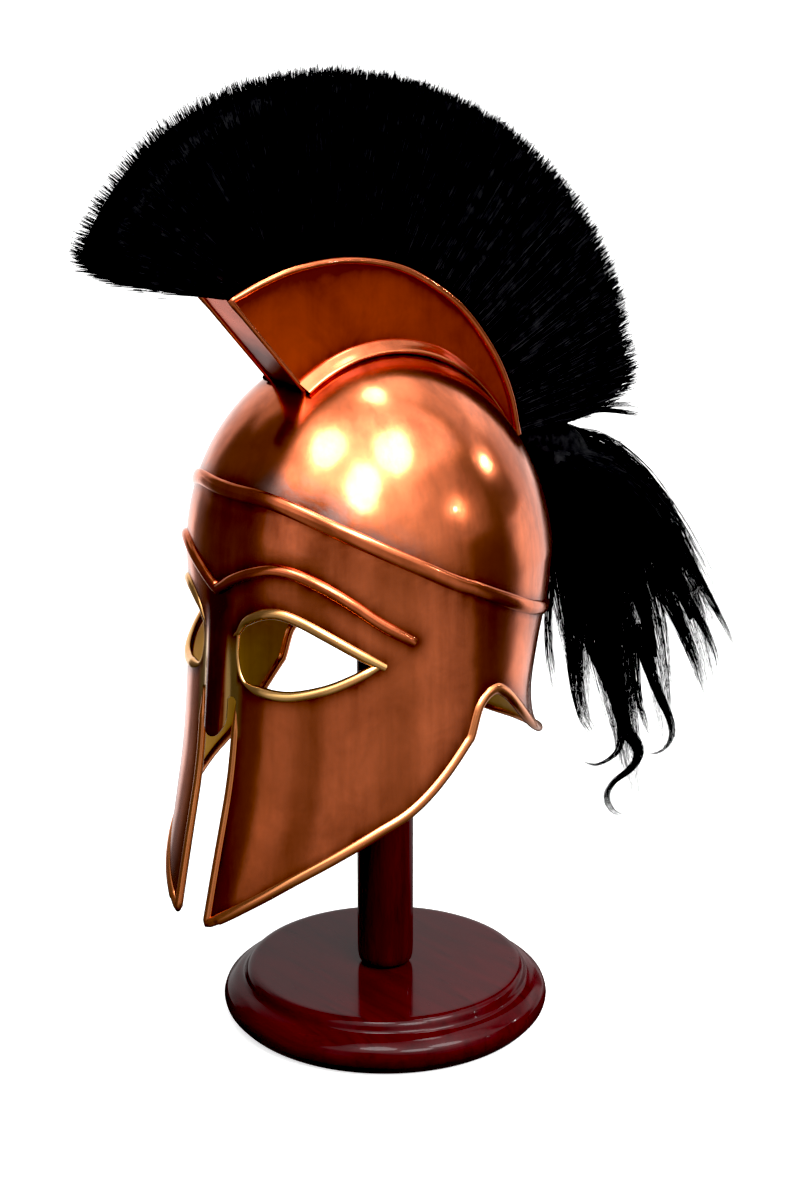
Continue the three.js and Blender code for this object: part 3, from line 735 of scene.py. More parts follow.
def finish(name):
    """The named material, made once from the scene's settings."""
    if name in MATERIALS:
        return MATERIALS[name]
    metal = bpy.context.scene.helmet_metal
    hair = bpy.context.scene.helmet_hair
    stand = bpy.context.scene.helmet_stand
    deep = tuple(c * k for c, k in zip(metal.copper, (1.0, 0.56, 0.3)))
    warm = tuple(0.68 * a + 0.32 * b for a, b in zip(metal.copper, metal.brass))
    gold = tuple(0.75 * c for c in metal.brass)
    # Bright and dark colour, clouds, streaks, polish, coat, depth of dents, masked, gold.
    metals = {
        "antique_bronze": (metal.copper, metal.patina, 0.36, 0.34, 0.15, 0.3, 0.003, True, gold),
        "crest_bronze": (deep, metal.patina, 0.35, 0.15, 0.26, 0.1, 0.002, True, None),
        "rim_brass": (metal.brass, metal.copper, 0.5, 0.1, 0.2, 0.3, 0.001, False, None),
        "edge_bronze": (warm, metal.copper, 0.5, 0.1, 0.2, 0.3, 0.001, False, None),
        "inside_brass": (metal.lining, metal.patina, 0.25, 0.25, 0.42, 0.0, 0.002, True, None),
    }
    if name in metals:
        aged = bpy.data.node_groups.get("aged_metal") or aged_metal_group()
        made = metal_material(name, aged, *metals[name])
    elif name in GRAIN:
        made = wood_material(name, stand.wood, stand.vein, GRAIN[name])
    else:
        made = hair_material(name, hair.colour)
    MATERIALS[name] = made
    return made


# ------------------------------------------------------------------ helmet shell
def bead(half, rise, skew=0.0):
    """Section of a raised moulding, round on top; `skew` moves its crest to one side."""
    sunk = 0.6
    turn = np.linspace(math.pi, 0, 15)
    arch = np.sin(turn) ** 0.85
    return np.stack([half * (np.cos(turn) + skew * arch), -sunk + (rise + sunk) * arch], 1)


def ridge_path(table, degrees):
    """Points and normals of the skin along a ridge's table."""
    z = through(table, 1, np.abs(degrees))
    angle = np.radians(degrees)
    return skin_at(angle, z, 0.0), skin_normal(angle, z)


def recess_of(flat):
    """How much darker the metal is at (degrees, height) points: most beside ridges, rims and edges."""
    half = np.stack([np.abs(flat[:, 0]), flat[:, 1]], 1)
    fine = np.linspace(0, 180, 181)
    skull = np.stack([fine, through(SKULL_RIDGE, 1, fine)], 1)
    brow_at = np.linspace(0, BROW_RIDGE[-1, 0], 90)
    brow = np.stack([brow_at, through(BROW_RIDGE, 1, brow_at)], 1)
    edge = np.stack([fine, lower_edge(fine)], 1)
    slot = slot_outline()
    slot = slot[: len(slot) // 2]
    # Line, whether it is closed, how far the darkening spreads from it in mm, and how dark it is.
    marks = (
        (skull, False, 7.5, 0.85),
        (brow, False, 7.0, 0.9),
        (eye_outline(1, 60), True, 7.5, 0.8),
        (edge, False, 7.5, 0.7),
        (slot, False, 6.5, 0.7),
    )
    dark = np.zeros(len(flat))
    for line, closed, spread, strength in marks:
        gap = nearest(half, line, closed)[1]
        dark = np.maximum(dark, strength * np.exp(-((gap / spread) ** 2)))
    below = np.interp(half[:, 0], fine, skull[:, 1]) - half[:, 1]
    dark = np.maximum(dark, BAND_DARK * np.exp(-(((below - BAND_BELOW) / BAND_HALF) ** 2)))
    down = np.clip((CHEEK_DARK_Z - half[:, 1]) / CHEEK_DARK_REACH, 0, 1)
    dark = np.maximum(dark, CHEEK_DARK * down * (half[:, 0] < 90))
    nasal = np.exp(-((half[:, 0] / NOSE_DARK_HALF) ** 4)) * (half[:, 1] < BRIM_Z) * NOSE_DARK
    return np.clip(np.maximum(dark, nasal), 0, 1)


def gilding(flat):
    """Golden strips at both sides of the nose guard, down to the top of the slot."""
    x = np.abs(skin(np.radians(flat[:, 0]), flat[:, 1])[:, 0])
    z = flat[:, 1]
    beside = np.clip((x - GILT_IN) / 0.8, 0, 1)
    strip = beside * np.clip(GILT_OUT - x, 0, 1)
    foot = beside * np.clip((GILT_FOOT_OUT - x) / 5, 0, 1) * np.clip((GILT_FOOT_Z - z) / 4, 0, 1)
    ends = np.clip((z - NASAL_TIP_Z - 2) / 2, 0, 1) * np.clip((GILT_TOP_Z - z) / 14, 0, 1)
    return np.maximum(strip, foot) * ends * (np.abs(flat[:, 0]) < 60)


def haze_of(flat):
    """Pale cloudy bloom on the skull just above its ridge."""
    degrees, z = np.abs(flat[:, 0]), flat[:, 1]
    above = z - through(SKULL_RIDGE, 1, degrees)
    band = np.clip((above - 2) / 3, 0, 1) * np.clip((24 - above) / 16, 0, 1)
    return band * np.clip((degrees - 8) / 14, 0, 1) * np.clip((84 - degrees) / 24, 0, 1)


def shell_columns():
    """Angles of the shell's grid, finer round the face."""
    fine = np.arange(0, 64, 0.8)
    middle = np.arange(64, 116, 1.3)
    coarse = np.arange(116, 180, 2.2)
    right = np.concatenate([fine, middle, coarse])
    return np.concatenate([right, [180], -right[:0:-1]])


def shell_grid():
    """Faces and (degrees, height) points of the shell, cut out at the eyes and the slot."""
    degrees = shell_columns()
    columns = len(degrees)
    low = lower_edge(degrees)
    t = np.linspace(0, 1, FACE_ROWS)[:, None]
    z_face = low[None] + (BRIM_Z - low)[None] * t
    turn = np.linspace(0, CROWN_REACH, CROWN_ROWS + 1)[1:] * math.pi / 2
    z_crown = np.repeat((BRIM_Z + (TOP_Z - BRIM_Z) * np.sin(turn))[:, None], columns, 1)
    z = np.vstack([z_face, z_crown])
    rows = len(z)
    flat = np.stack([np.repeat(degrees[None], rows, 0).ravel(), z.ravel()], 1)
    faces = grid_faces(rows, columns, wrap=True)
    for outline in (eye_outline(1, 160), eye_outline(-1, 160), slot_outline()):
        close = np.abs(flat[:, 0]) < 70
        hit = np.zeros(len(flat), bool)
        hit[close] = inside(flat[close], outline)
        faces = faces[~hit[faces].all(1)]
        flat[hit] = nearest(flat[hit], outline)[0]
    used = np.unique(faces)
    index = np.full(len(flat), -1)
    index[used] = np.arange(len(used))
    return index[faces], flat[used]


def border(faces):
    """Edges that belong to one face only, in the direction of that face."""
    edges = np.concatenate([faces[:, [k, (k + 1) % 4]] for k in range(4)])
    keys = np.sort(edges, 1)
    _, first, times = np.unique(keys, axis=0, return_index=True, return_counts=True)
    return edges[first[times == 1]]


def shell_masks(flat, outer):
    """Darkening and painted shade, gilding and bloom of the outside, then of the inside."""
    gilt = gilding(flat)
    # Painted shadow on the crown beside and ahead of the crest's foot, added to the darkening mask.
    beside = np.maximum(np.abs(outer[:, 0]) - CREST_HALF, 0) / SHADE_BESIDE
    ahead = np.maximum(CREST_FOOT[0] - outer[:, 1], 0) / SHADE_AHEAD
    under_crest = (flat[:, 1] > CREST_SEAT_Z) & (outer[:, 1] > CREST_FOOT[0] - 14)
    painted_crest_shadow = np.where(under_crest, CREST_PAINTED_SHADOW * np.exp(-(np.hypot(beside, ahead) ** 2)), 0)
    dark = np.maximum(recess_of(flat) * (1 - 0.8 * gilt), painted_crest_shadow)
    # Painted shade on the inside behind the nose guard.
    painted_shade_inside = BEHIND_NOSE_PAINTED_SHADE * np.exp(-((flat[:, 0] / BEHIND_DARK_HALF) ** 4))
    painted_shade_inside = painted_shade_inside * (flat[:, 1] < BEHIND_DARK_Z)
    return {
        "darkening_and_painted_shade": np.concatenate([dark, painted_shade_inside]),
        "gilt": np.tile(gilt, 2),
        "haze": np.tile(haze_of(flat), 2),
    }


def build_shell():
    faces, flat = shell_grid()
    angle = np.radians(flat[:, 0])
    normal = skin_normal(angle, flat[:, 1])
    outer = skin(angle, flat[:, 1])
    inner = outer - normal * SHEET
    count = len(flat)
    rim = border(faces)
    walls = np.stack([rim[:, 1], rim[:, 0], rim[:, 0] + count, rim[:, 1] + count], 1)
    everything = np.vstack([faces, faces[:, ::-1] + count, walls])
    inside_face = np.concatenate([np.zeros(len(faces)), np.ones(len(faces)), np.zeros(len(walls))])
    points = np.vstack([outer, inner])
    normals = np.vstack([normal, -normal])
    masks = shell_masks(flat, outer)
    item = mesh_object("helmet_shell_skin", points, everything, normals, inside_face, masks)
    add_piece(item, "helmet_shell", "bronze", finish("antique_bronze"), finish("inside_brass"))


def build_ridges(settings):
    rise = settings.ridge_rise / MM
    path, normals = ridge_path(SKULL_RIDGE, np.linspace(-180, 180, 361)[:-1])
    ridge = swept_mesh(path, normals, bead(5.0, rise, RIDGE_SKEW), closed=True, ring=False)
    reach = BROW_RIDGE[-1, 0]
    at = np.linspace(-reach, reach, 201)
    path, normals = ridge_path(BROW_RIDGE, at)
    fade = np.sqrt(np.clip(9.0 * (1 - np.abs(at) / reach), 0.0, 1))
    section = np.stack([bead(3.0 + f, 0.65 * rise * (1 + f)) for f in fade])
    brow = swept_mesh(path, normals, section, ring=False)
    ridges = mesh_object("helmet_ridges", *merge([ridge, brow]))
    add_piece(ridges, None, "bronze", finish("antique_bronze"))


# ------------------------------------------------------------------ rims
def build_rims(settings):
    radius = settings.rim_radius / MM
    section = circle(radius, 14)
    for side, word in ((1, "left"), (-1, "right")):
        outline = eye_outline(1, 200)
        corner = int(np.argmax(outline[:, 0]))
        start = int(np.argmin(np.abs(outline[:, 0] - EYE[0, 0]) + np.abs(outline[:, 1] - EYE[0, 1])))
        outline = np.roll(outline, -start, axis=0)
        corner = (corner - start) % len(outline)
        upper, lower = outline[: corner + 1], outline[corner:]
        past_corner = upper[-1] + (upper[-1] - upper[-6]) * 0.6
        upper = np.vstack([EYE_FOLD, upper, past_corner])
        parts = []
        for line, thickness in ((upper, UPPER_RIM), (lower, LOWER_RIM)):
            line = line[::side]
            thick = np.interp(line[:, 0], *thickness)
            angle = np.radians(line[:, 0] * side)
            path = skin_at(angle, line[:, 1], -SHEET / 2)
            normals = skin_normal(angle, line[:, 1])
            shape = section * EYE_RIM_SHAPE * thick[:, None, None]
            parts.append(swept_mesh(path, normals, shape))
        item = mesh_object(f"eye_rim_{word}_bead", *merge(parts))
        add_piece(item, f"eye_rim_{word}", "brass_rim", finish("rim_brass"))
    front_z = np.linspace(SLOT_TOP_Z - 2, CHEEK_FRONT_Z, 60)
    front = np.degrees(angle_at_x(slot_half(front_z), front_z))
    tip = np.degrees(angle_at_x(slot_half(CHEEK_TIP_Z), CHEEK_TIP_Z))
    # Degrees from and to, and how many points.
    stretches = ((tip + 0.3, 75, 90), (76, 112, 60), (113, 179, 60))
    around = np.concatenate([np.linspace(*stretch) for stretch in stretches])
    right = np.vstack([np.stack([front, front_z], 1), np.stack([around, lower_edge(around)], 1)])
    flat = np.vstack([right, [(180.0, lower_edge(180.0))], right[::-1] * (-1, 1)])
    angle = np.radians(flat[:, 0])
    path = skin_at(angle, flat[:, 1], -SHEET / 2)
    normals = skin_normal(angle, flat[:, 1])
    thick = np.where(np.abs(flat[:, 0]) < SLOT_RIM_DEGREES, np.interp(flat[:, 1], *SLOT_RIM), 1.0)
    section = section * EDGE_RIM_SHAPE * thick[:, None, None]
    points, faces = swept_mesh(path, normals, section)
    caps = end_caps(len(flat), section.shape[1])
    item = mesh_object("edge_rim_bead", points, np.vstack([faces, caps]))
    add_piece(item, "edge_rim", "brass_rim", finish("edge_bronze"))


# ------------------------------------------------------------------ crest holder
def crest_line(count):
    """Points (y, z) along the crest's top edge and the directions square to it."""
    line = spaced(CREST_TOP, count)
    way = unit(np.gradient(line, axis=0))
    return line, np.stack([-way[:, 1], way[:, 0]], 1)


def crown_z(y, x):
    """Height of the crown over a point, by solving the skin for it."""
    low = np.full(np.shape(y), BRIM_Z)
    high = np.full(np.shape(y), TOP_Z - 0.01)
    for _ in range(40):
        mid = (low + high) / 2
        rise = (mid - BRIM_Z) / (TOP_Z - BRIM_Z)
        front, back, half = SECTIONS[-1, 1], SECTIONS[-1, 2], SECTIONS[-1, 3]
        shrink = np.sqrt(1 - rise**2)
        centre = SKULL_CENTRE_Y - CROWN_LEAN * np.sin(rise * math.pi / 2)
        reach = np.where(y < centre, front, back)
        within = (x / (half * shrink)) ** 2 + ((y - centre) / (reach * shrink)) ** 2 < 1
        low = np.where(within, mid, low)
        high = np.where(within, high, mid)
    return (low + high) / 2


def crest_foot(count):
    """The line (y, z) on the crown that the crest's sides stand on, front to back."""
    y = np.linspace(CREST_FOOT[0] - 3, CREST_TOP[-1, 0], count)
    z = crown_z(y, np.full(count, CREST_HALF))
    return np.stack([y, np.maximum(z, CREST_SEAT_Z)], 1)


def build_crest():
    count, rows = 90, 26
    top, _ = crest_line(count)
    foot = crest_foot(count)
    parts, dark = [], []
    up = np.linspace(0, 1, rows)[:, None]
    side_grid = foot[None] + (top - foot)[None] * up[..., None]
    belly = CREST_BELLY * np.sin(np.linspace(0, math.pi, rows))[:, None]
    edge = np.minimum(up, 1 - up) * CREST_HEIGHT
    for side in (1, -1):
        for inner in (0, 1):
            x = np.broadcast_to(side * (CREST_HALF - inner * SHEET - belly), (rows, count))
            points = np.concatenate([x[..., None], side_grid], -1).reshape(-1, 3)
            faces = grid_faces(rows, count)
            if (side == 1) == (inner == 1):
                faces = faces[:, ::-1]
            parts.append((points, faces))
            # Painted shade along the top and bottom edges of the crest's sides.
            shade = 0.35 + 0.65 * np.exp(-((edge / 9) ** 2)) + 0 * x
            dark.append(np.clip(shade, 0, 1).ravel())
    wide = 14
    front_line = np.array(CREST_FOOT)[None] * (1 - up) + CREST_TOP[0][None] * up
    for inner in (0, 1):
        x = np.linspace(-CREST_HALF, CREST_HALF, wide)[None].repeat(rows, 0)
        y = front_line[:, :1].repeat(wide, 1) + inner * SHEET
        z = front_line[:, 1:].repeat(wide, 1)
        points = np.stack([x, y, z], -1).reshape(-1, 3)
        faces = grid_faces(rows, wide)
        parts.append((points, faces[:, ::-1] if inner else faces))
        # Painted shade on the front plate, darkest at its foot.
        shade = 1.6 - 2.2 * up + 0 * x
        dark.append(np.clip(shade, 0, 1).ravel())
    walls = mesh_object("crest_walls", *merge(parts), masks={"darkening_and_painted_shade": np.concatenate(dark)})
    add_piece(walls, "crest_holder", "bronze", finish("crest_bronze"))

    parts = []
    lip = circle(CREST_LIP, 12)
    for side in (1, -1):
        x = side * CREST_HALF
        front = np.linspace(np.array(CREST_FOOT), CREST_TOP[0], 24)[:-1]
        line = np.vstack([front, top])
        path = np.column_stack([np.full(len(line), x), line])
        normals = np.tile((side, 0.0, 0.0), (len(line), 1))
        thick = np.interp(np.arange(len(line)), (len(front) - 4, len(front) + 3), (0.8, 1.3))
        parts.append(swept_mesh(path, normals, lip * thick[:, None, None]))
        fade = np.interp(foot[:, 0], (-70, 30, 100), (1, 1, 0.3))
        base = np.column_stack([np.full(count, float(x)), foot])
        square = np.column_stack([np.zeros(count), -np.gradient(foot[:, 1]), np.gradient(foot[:, 0])])
        cove = np.array(CREST_COVE)
        section = np.stack([cove * f for f in fade]) * (-side if side > 0 else 1, 1)
        parts.append(swept_mesh(base, unit(square), section))
    lips = mesh_object("crest_rolled_edges", *merge(parts))
    add_piece(lips, None, "bronze", finish("antique_bronze"))


# ------------------------------------------------------------------ hair
def brush_frame(along):
    """Root point (y, z), hair direction and length at shares of the crest's length."""
    line, out = crest_line(400)
    at = (0.03 + 0.955 * along) * 399
    k = np.arange(400)
    root = np.stack([np.interp(at, k, line[:, 0]), np.interp(at, k, line[:, 1])], 1)
    way = unit(np.stack([np.interp(at, k, out[:, 0]), np.interp(at, k, out[:, 1])], 1))
    lean = np.radians(through(BRUSH_EDGE, 1, along))
    length = through(BRUSH_EDGE, 2, along)
    c, s = np.cos(lean), np.sin(lean)
    way = np.stack([way[:, 0] * c - way[:, 1] * s, way[:, 0] * s + way[:, 1] * c], 1)
    return root, way, length


def brush_half(reach):
    """Half thickness of the brush by the share of its hair's length."""
    half = BRUSH_ROOT_HALF + (BRUSH_TIP_HALF - BRUSH_ROOT_HALF) * reach
    return half * np.interp(reach, (0, 0.8, 0.93, 0.985, 1), (1, 0.98, 0.8, 0.45, 0.1))


def strands(points, width, tip=0.15):
    """Thin flat strips along rows of points (hair, step, xyz), each turned its own way."""
    hairs, steps = points.shape[:2]
    rng = np.random.default_rng(hairs)
    along = np.gradient(points, axis=1)
    side = unit(np.cross(along, rng.normal(size=(hairs, 1, 3))))
    t = np.linspace(0, 1, steps)[None, :, None]
    half = width / 2 * (1 - (1 - tip) * t**2)
    both = np.stack([points - side * half, points + side * half], 2)
    corners = np.arange(hairs * steps * 2).reshape(hairs, steps, 2)
    quads = np.stack(
        [corners[:, :-1, 0], corners[:, :-1, 1], corners[:, 1:, 1], corners[:, 1:, 0]], -1
    )
    return both.reshape(-1, 3), quads.reshape(-1, 4)


def build_brush(settings):
    rng = np.random.default_rng(BRUSH_SEED)
    # The dark core, a little inside the tips of the hairs.
    stations = 120
    along = np.linspace(-0.04, 1.03, stations)
    root, way, length = brush_frame(along)
    reach = np.array((0, 0.3, 0.6, 0.8, 0.88, 0.925, 0.945))
    half = brush_half(np.minimum(reach * 1.03, 1)) * 0.93
    ring_reach = np.concatenate([reach, reach[::-1]])
    ring_half = np.concatenate([half, -half[::-1]])
    d = length[:, None] * ring_reach[None]
    y = root[:, None, 0] + way[:, None, 0] * d
    z = root[:, None, 1] + way[:, None, 1] * d
    x = np.broadcast_to(ring_half[None], y.shape)
    core_points = np.stack([x, y, z], -1).reshape(-1, 3)
    columns = len(ring_reach)
    faces = grid_faces(stations, columns, wrap=True)
    core = (core_points, np.vstack([faces, end_caps(stations, columns)]))

    # Hairs along the flat sides start low, the others near the tips.
    count = settings.brush_hairs
    at = rng.uniform(BRUSH_EDGE[0, 0], BRUSH_EDGE[-1, 0], count)
    across = np.clip(rng.normal(0, 0.62, count), -1, 1)
    edge_hair = rng.random(count) < SIDE_HAIRS
    across[edge_hair] = np.sign(across[edge_hair]) * rng.uniform(0.85, 1.0, edge_hair.sum())
    start = np.where(edge_hair, rng.uniform(0.02, 0.55, count), rng.uniform(0.72, 0.86, count))
    stop = 0.99 - 0.05 * across**4 + rng.normal(0, 0.018, count)
    stop = np.where(edge_hair, np.minimum(stop, start + rng.uniform(0.3, 0.6, count)), stop)
    stray = rng.random(count) < STRAY_HAIRS
    stop[stray] += rng.uniform(0.01, 0.04, stray.sum())
    root, way, length = brush_frame(at)
    steps = 3
    t = np.linspace(0, 1, steps)[None]
    reach = start[:, None] + (stop - start)[:, None] * t
    sway = rng.normal(0, 0.03, (count, 1)) * reach
    y = root[:, None, 0] + (way[:, None, 0] - way[:, None, 1] * sway) * length[:, None] * reach
    z = root[:, None, 1] + (way[:, None, 1] + way[:, None, 0] * sway) * length[:, None] * reach
    spread = BRUSH_ROOT_HALF + (BRUSH_TIP_HALF - BRUSH_ROOT_HALF) * reach
    x = across[:, None] * spread * 0.97
    hair = strands(np.stack([x, y, z], -1), settings.width / MM, 0.45)
    item = mesh_object("plume_brush_hair", *merge([core, hair]))
    add_piece(item, "plume_brush", "hair", finish("black_hair"))


def lock_line(row, t):
    """Centre line of a lock of the tail at shares of its length."""
    x, y, z, _, _, curl = row
    dy, dz = y - TAIL_HEAD[1], z - TAIL_HEAD[2]
    p = np.array(
        [
            (0.4 * x, TAIL_HEAD[1], TAIL_HEAD[2]),
            (0.8 * x, TAIL_HEAD[1] + 0.4 * dy, TAIL_HEAD[2] - 6),
            (x, TAIL_HEAD[1] + 0.75 * dy, TAIL_HEAD[2] + 0.42 * dz),
            (x, y, z),
        ]
    )
    t = np.asarray(t)[..., None]
    line = (1 - t) ** 3 * p[0] + 3 * (1 - t) ** 2 * t * p[1] + 3 * (1 - t) * t**2 * p[2] + t**3 * p[3]
    line[..., 1] += curl * t[..., 0] ** 2 * np.sin(t[..., 0] * 2.2 * math.pi)
    return line


def lock_radius(row, t):
    """Radius of a lock of the tail at shares of its length."""
    root, tip = row[3], row[4]
    return tip + (root - tip) * (1 - t**3) * (0.7 + 0.45 * np.sin(math.pi * t))


def along_path(points, t):
    """Points at shares of the length of a smooth path through `points`."""
    fine = spaced(points, 120)
    where = np.clip(t, 0, 1) * 119
    return np.stack([np.interp(where, np.arange(120), fine[:, k]) for k in range(3)], -1)


def lock_strands(centre, radius, hairs, rng, width, wave=1.6):
    """Hairs spread round a lock's centre lines (hair, step, xyz) with radii (hair, step)."""
    steps = centre.shape[1]
    s = np.linspace(0, 1, steps)[None]
    spin = rng.uniform(0, 2 * math.pi, (hairs, 1)) + rng.normal(0, 0.5, (hairs, 1)) * s
    wide = radius * np.sqrt(rng.uniform(0.1, 1.2, (hairs, 1)))
    ripple = wave * s * np.sin(s * rng.uniform(5, 9, (hairs, 1)) + spin)
    centre = centre.copy()
    centre[..., 0] += np.cos(spin) * wide + ripple
    centre[..., 1] += np.sin(spin) * wide * 0.8 + ripple * 0.6
    centre[..., 2] += np.sin(spin) * wide * 0.5
    return strands(centre, width)


def build_tail(settings):
    rng = np.random.default_rng(TAIL_SEED)
    order = TAIL_LOCKS[np.argsort(TAIL_LOCKS[:, 1])]
    between = (order[1:] + order[:-1]) / 2
    between[:, 4] = 4
    parts = []
    # Dark cores: one in each lock, and a shorter one between each two.
    for rows, stop in ((order, 0.82), (between, 0.52)):
        t = np.linspace(0, stop, 26)
        for row in rows:
            radius = lock_radius(row, t) * np.interp(t / stop, (0, 0.6, 1), (0.9, 0.78, 0.2))
            parts.append(tube(lock_line(row, t), radius, 10))
    t = np.linspace(0, 1, 14)
    radius = np.interp(t, (0, 0.2, 0.7, 1), (7, 13, 17, 12))
    parts.append(tube(along_path(TAIL_NECK, t), radius, 14))

    # Hairs spread evenly at the root and gather into the locks further down.
    hairs, steps = settings.tail_hairs, 14
    s = np.linspace(0, 1, steps)[None]
    reach = rng.uniform(0.7, 1.03, (hairs, 1))
    t = s * reach
    share = rng.uniform(-0.45, len(order) - 0.55, hairs)
    nearest_lock = np.clip(np.round(share), 0, len(order) - 1).astype(int)
    low = np.clip(np.floor(share), 0, len(order) - 2).astype(int)
    blend = np.clip(share - low, 0, 1)[:, None, None]
    lines = np.stack([lock_line(row, t) for row in order])
    radii = np.stack([lock_radius(row, np.clip(t, 0, 1)) for row in order])
    pick = np.arange(hairs)
    spread = lines[low, pick] * (1 - blend) + lines[low + 1, pick] * blend
    gather = np.clip((t - LOCK_PARTING) / 0.4, 0, 1)[..., None]
    gather = gather * gather * (3 - 2 * gather)
    centre = spread * (1 - gather) + lines[nearest_lock, pick] * gather
    radius = radii[nearest_lock, pick] * (1.05 + 0.25 * t)
    flyaway = rng.random(hairs) < FLYAWAY_HAIRS
    radius[flyaway] *= 1 + rng.uniform(0.1, 0.7, (flyaway.sum(), 1)) * s
    width = 0.8 * settings.width / MM
    parts.append(lock_strands(centre, radius, hairs, rng, width))
    item = mesh_object("plume_tail_hair", *merge(parts))
    add_piece(item, "plume_tail", "hair", finish("black_hair"))

    parts = []
    s = np.linspace(0, 1, 24)[None]
    for path, root, tip, hairs in TAIL_WISPS:
        reach = rng.uniform(0.7, 1.0, (hairs, 1))
        t = s * reach
        centre = along_path(np.array(path, float), t)
        radius = root + (tip - root) * t
        parts.append(lock_strands(centre, radius, hairs, rng, width, 0.5))
    wisps = mesh_object("plume_tail_wisps", *merge(parts))
    add_piece(wisps, None, "hair", finish("black_hair"))


# ------------------------------------------------------------------ stand
def lathe(profile, around=128):
    """Turned solid from a profile of (radius, height) points; the axis points close it."""
    turn = np.arange(around) / around * 2 * math.pi
    r, z = profile[:, 0][:, None], profile[:, 1][:, None]
    grid = np.stack([r * np.sin(turn), -r * np.cos(turn), z + 0 * turn], -1)
    return grid.reshape(-1, 3), grid_faces(len(profile), around, wrap=True)


def rounded(profile, fine):
    """Profile with its corners softened: dense points pulled slightly towards their neighbours."""
    runs = []
    for a, b in zip(profile, profile[1:]):
        count = max(2, int(np.linalg.norm(b - a) / fine) + 1)
        runs.append(np.linspace(a, b, count)[:-1])
    dense = np.vstack(runs + [profile[-1:]])
    for _ in range(3):
        dense[1:-1] = (dense[:-2] + 2 * dense[1:-1] + dense[2:]) / 4
    return dense


def build_stand():
    profile = rounded(BASE_PROFILE.astype(float), 1.2)
    profile[:, 0] = np.maximum(profile[:, 0], AXIS_RADIUS)
    base = mesh_object("stand_base_turned", *lathe(profile))
    add_piece(base, "stand_base", "lacquered_wood", finish("turned_wood"))

    low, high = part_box("stand_post")
    radius, z0, z1 = high.x / MM, low.z / MM, high.z / MM
    lower = [(AXIS_RADIUS, z0), (radius - 0.6, z0), (radius, z0 + 0.8)]
    upper = [(radius, z1 - 0.8), (radius - 0.6, z1), (AXIS_RADIUS, z1)]
    post = mesh_object("stand_post_turned", *lathe(rounded(np.array(lower + upper), 6.0), 96))
    add_piece(post, "stand_post", "lacquered_wood", finish("post_wood"))

    low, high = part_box("stand_block")
    radius, z0, z1 = high.x / MM, low.z / MM, high.z / MM
    side = crown_z(np.array([radius]), np.array([0.0]))[0] - SHEET - 3
    lower = [(AXIS_RADIUS, z0), (radius - 1, z0), (radius, z0 + 1.5)]
    upper = [(radius, side - 12), (radius * 0.6, z1 - 8), (AXIS_RADIUS, z1 - 4)]
    block = mesh_object("stand_block_turned", *lathe(rounded(np.array(lower + upper), 2.0), 96))
    add_piece(block, "stand_block", "lacquered_wood", finish("turned_wood"))


# ------------------------------------------------------------------ studio
CAMERA_AZIMUTH = 51.0
CAMERA_PAN = -0.306
CAMERA_PITCH = 18.2
CAMERA_REACH = 1.881
CAMERA_HEIGHT = 0.9147
CAMERA_LENS = 90.0
BLACK_POINT = 0.012
HELMET_CENTRE = Vector((0, 0, 0.37))
FLOOR_HALF = 12000.0
FLOOR_Z = -0.2
# Brightness of the floor and the studio between their panels, as reflections show it.
FLOOR_GLOW = 0.09
STUDIO_GLOW = 0.11
# Round lamps: name, azimuth, elevation, distance and diameter in metres, brightness of the face.
STUDIO_LIGHTS = (
    ("lamp_front", 44, 54, 1.6, 0.62, 14),
    ("lamp_side", 104, 42, 1.6, 0.62, 14),
    ("lamp_low", 75, 31, 1.6, 0.62, 14),
    ("lamp_top", 146, 72, 1.6, 0.36, 12),
    ("spark_low", 126, 9, 1.8, 0.03, 420),
    ("spark_high", 158, 16, 1.8, 0.04, 420),
)
# Soft panels round the helmet: azimuth from and to with the softness of each end, then the same
# for the elevation, and how bright the panel is.
STUDIO_PANELS = (
    (2, 152, 14, 10, 27, 72, 7, 20, 2.2),
    (24, 132, 24, 24, 36, 62, 12, 14, 1.2),
    (52, 112, 20, 20, 14, 40, 8, 10, 1.0),
    (76, 140, 34, 22, -4, 30, 22, 8, 0.6),
    (10, 200, 40, 40, 60, 95, 14, 5, 0.8),
    (-180, 180, 1, 1, 62, 95, 12, 5, 0.4),
    (-3, 30, 3, 22, -20, 26, 5, 6, 0.75),
    (20, 116, 40, 50, -25, 26, 5, 10, 0.34),
    (-150, -78, 10, 10, -30, 38, 8, 8, 0.6),
    (-150, -60, 10, 12, 34, 54, 8, 6, 0.45),
    (-150, -68, 10, 10, -30, 2, 8, 6, 0.3),
    (-150, -92, 10, 12, -30, 34, 8, 10, 0.35),
    (174, 198, 10, 4, -30, 26, 8, 10, 0.85),
    (158, 198, 10, 6, 18, 62, 10, 10, 0.85),
    (150, 205, 10, 20, 48, 76, 12, 12, 0.9),
)
# Stretches of the floor: azimuth from and to, the softness of each end, brightness.
FLOOR_PANELS = (
    (-4, 24, 6, 10, 0.26),
    (24, 46, 10, 10, 0.15),
    (46, 78, 10, 8, 0.36),
    (78, 102, 8, 6, 0.26),
    (102, 126, 6, 14, 0.42),
    (160, 204, 12, 8, 1.2),
    (-84, -70, 10, 10, 0.15),
    (-132, -84, 14, 10, 1.2),
)


def from_azimuth(azimuth, elevation):
    """Direction from the helmet; azimuth 0 is straight ahead of its face, 90 its left side."""
    a, e = math.radians(azimuth), math.radians(elevation)
    return Vector((math.sin(a) * math.cos(e), -math.cos(a) * math.cos(e), math.sin(e)))


def soft_lamp(name, azimuth, elevation, distance, size, glow):
    """Round lamp aimed at the helmet; `glow` is how bright its face looks."""
    light = bpy.data.lights.new(name, "AREA")
    light.shape = "DISK"
    light.size = size
    light.energy = glow * math.pi * size**2 * math.pi / 4
    item = bpy.data.objects.new(name, light)
    item.location = HELMET_CENTRE + distance * from_azimuth(azimuth, elevation)
    item.rotation_euler = (HELMET_CENTRE - item.location).to_track_quat("-Z", "Y").to_euler()
    bpy.context.scene.collection.objects.link(item)


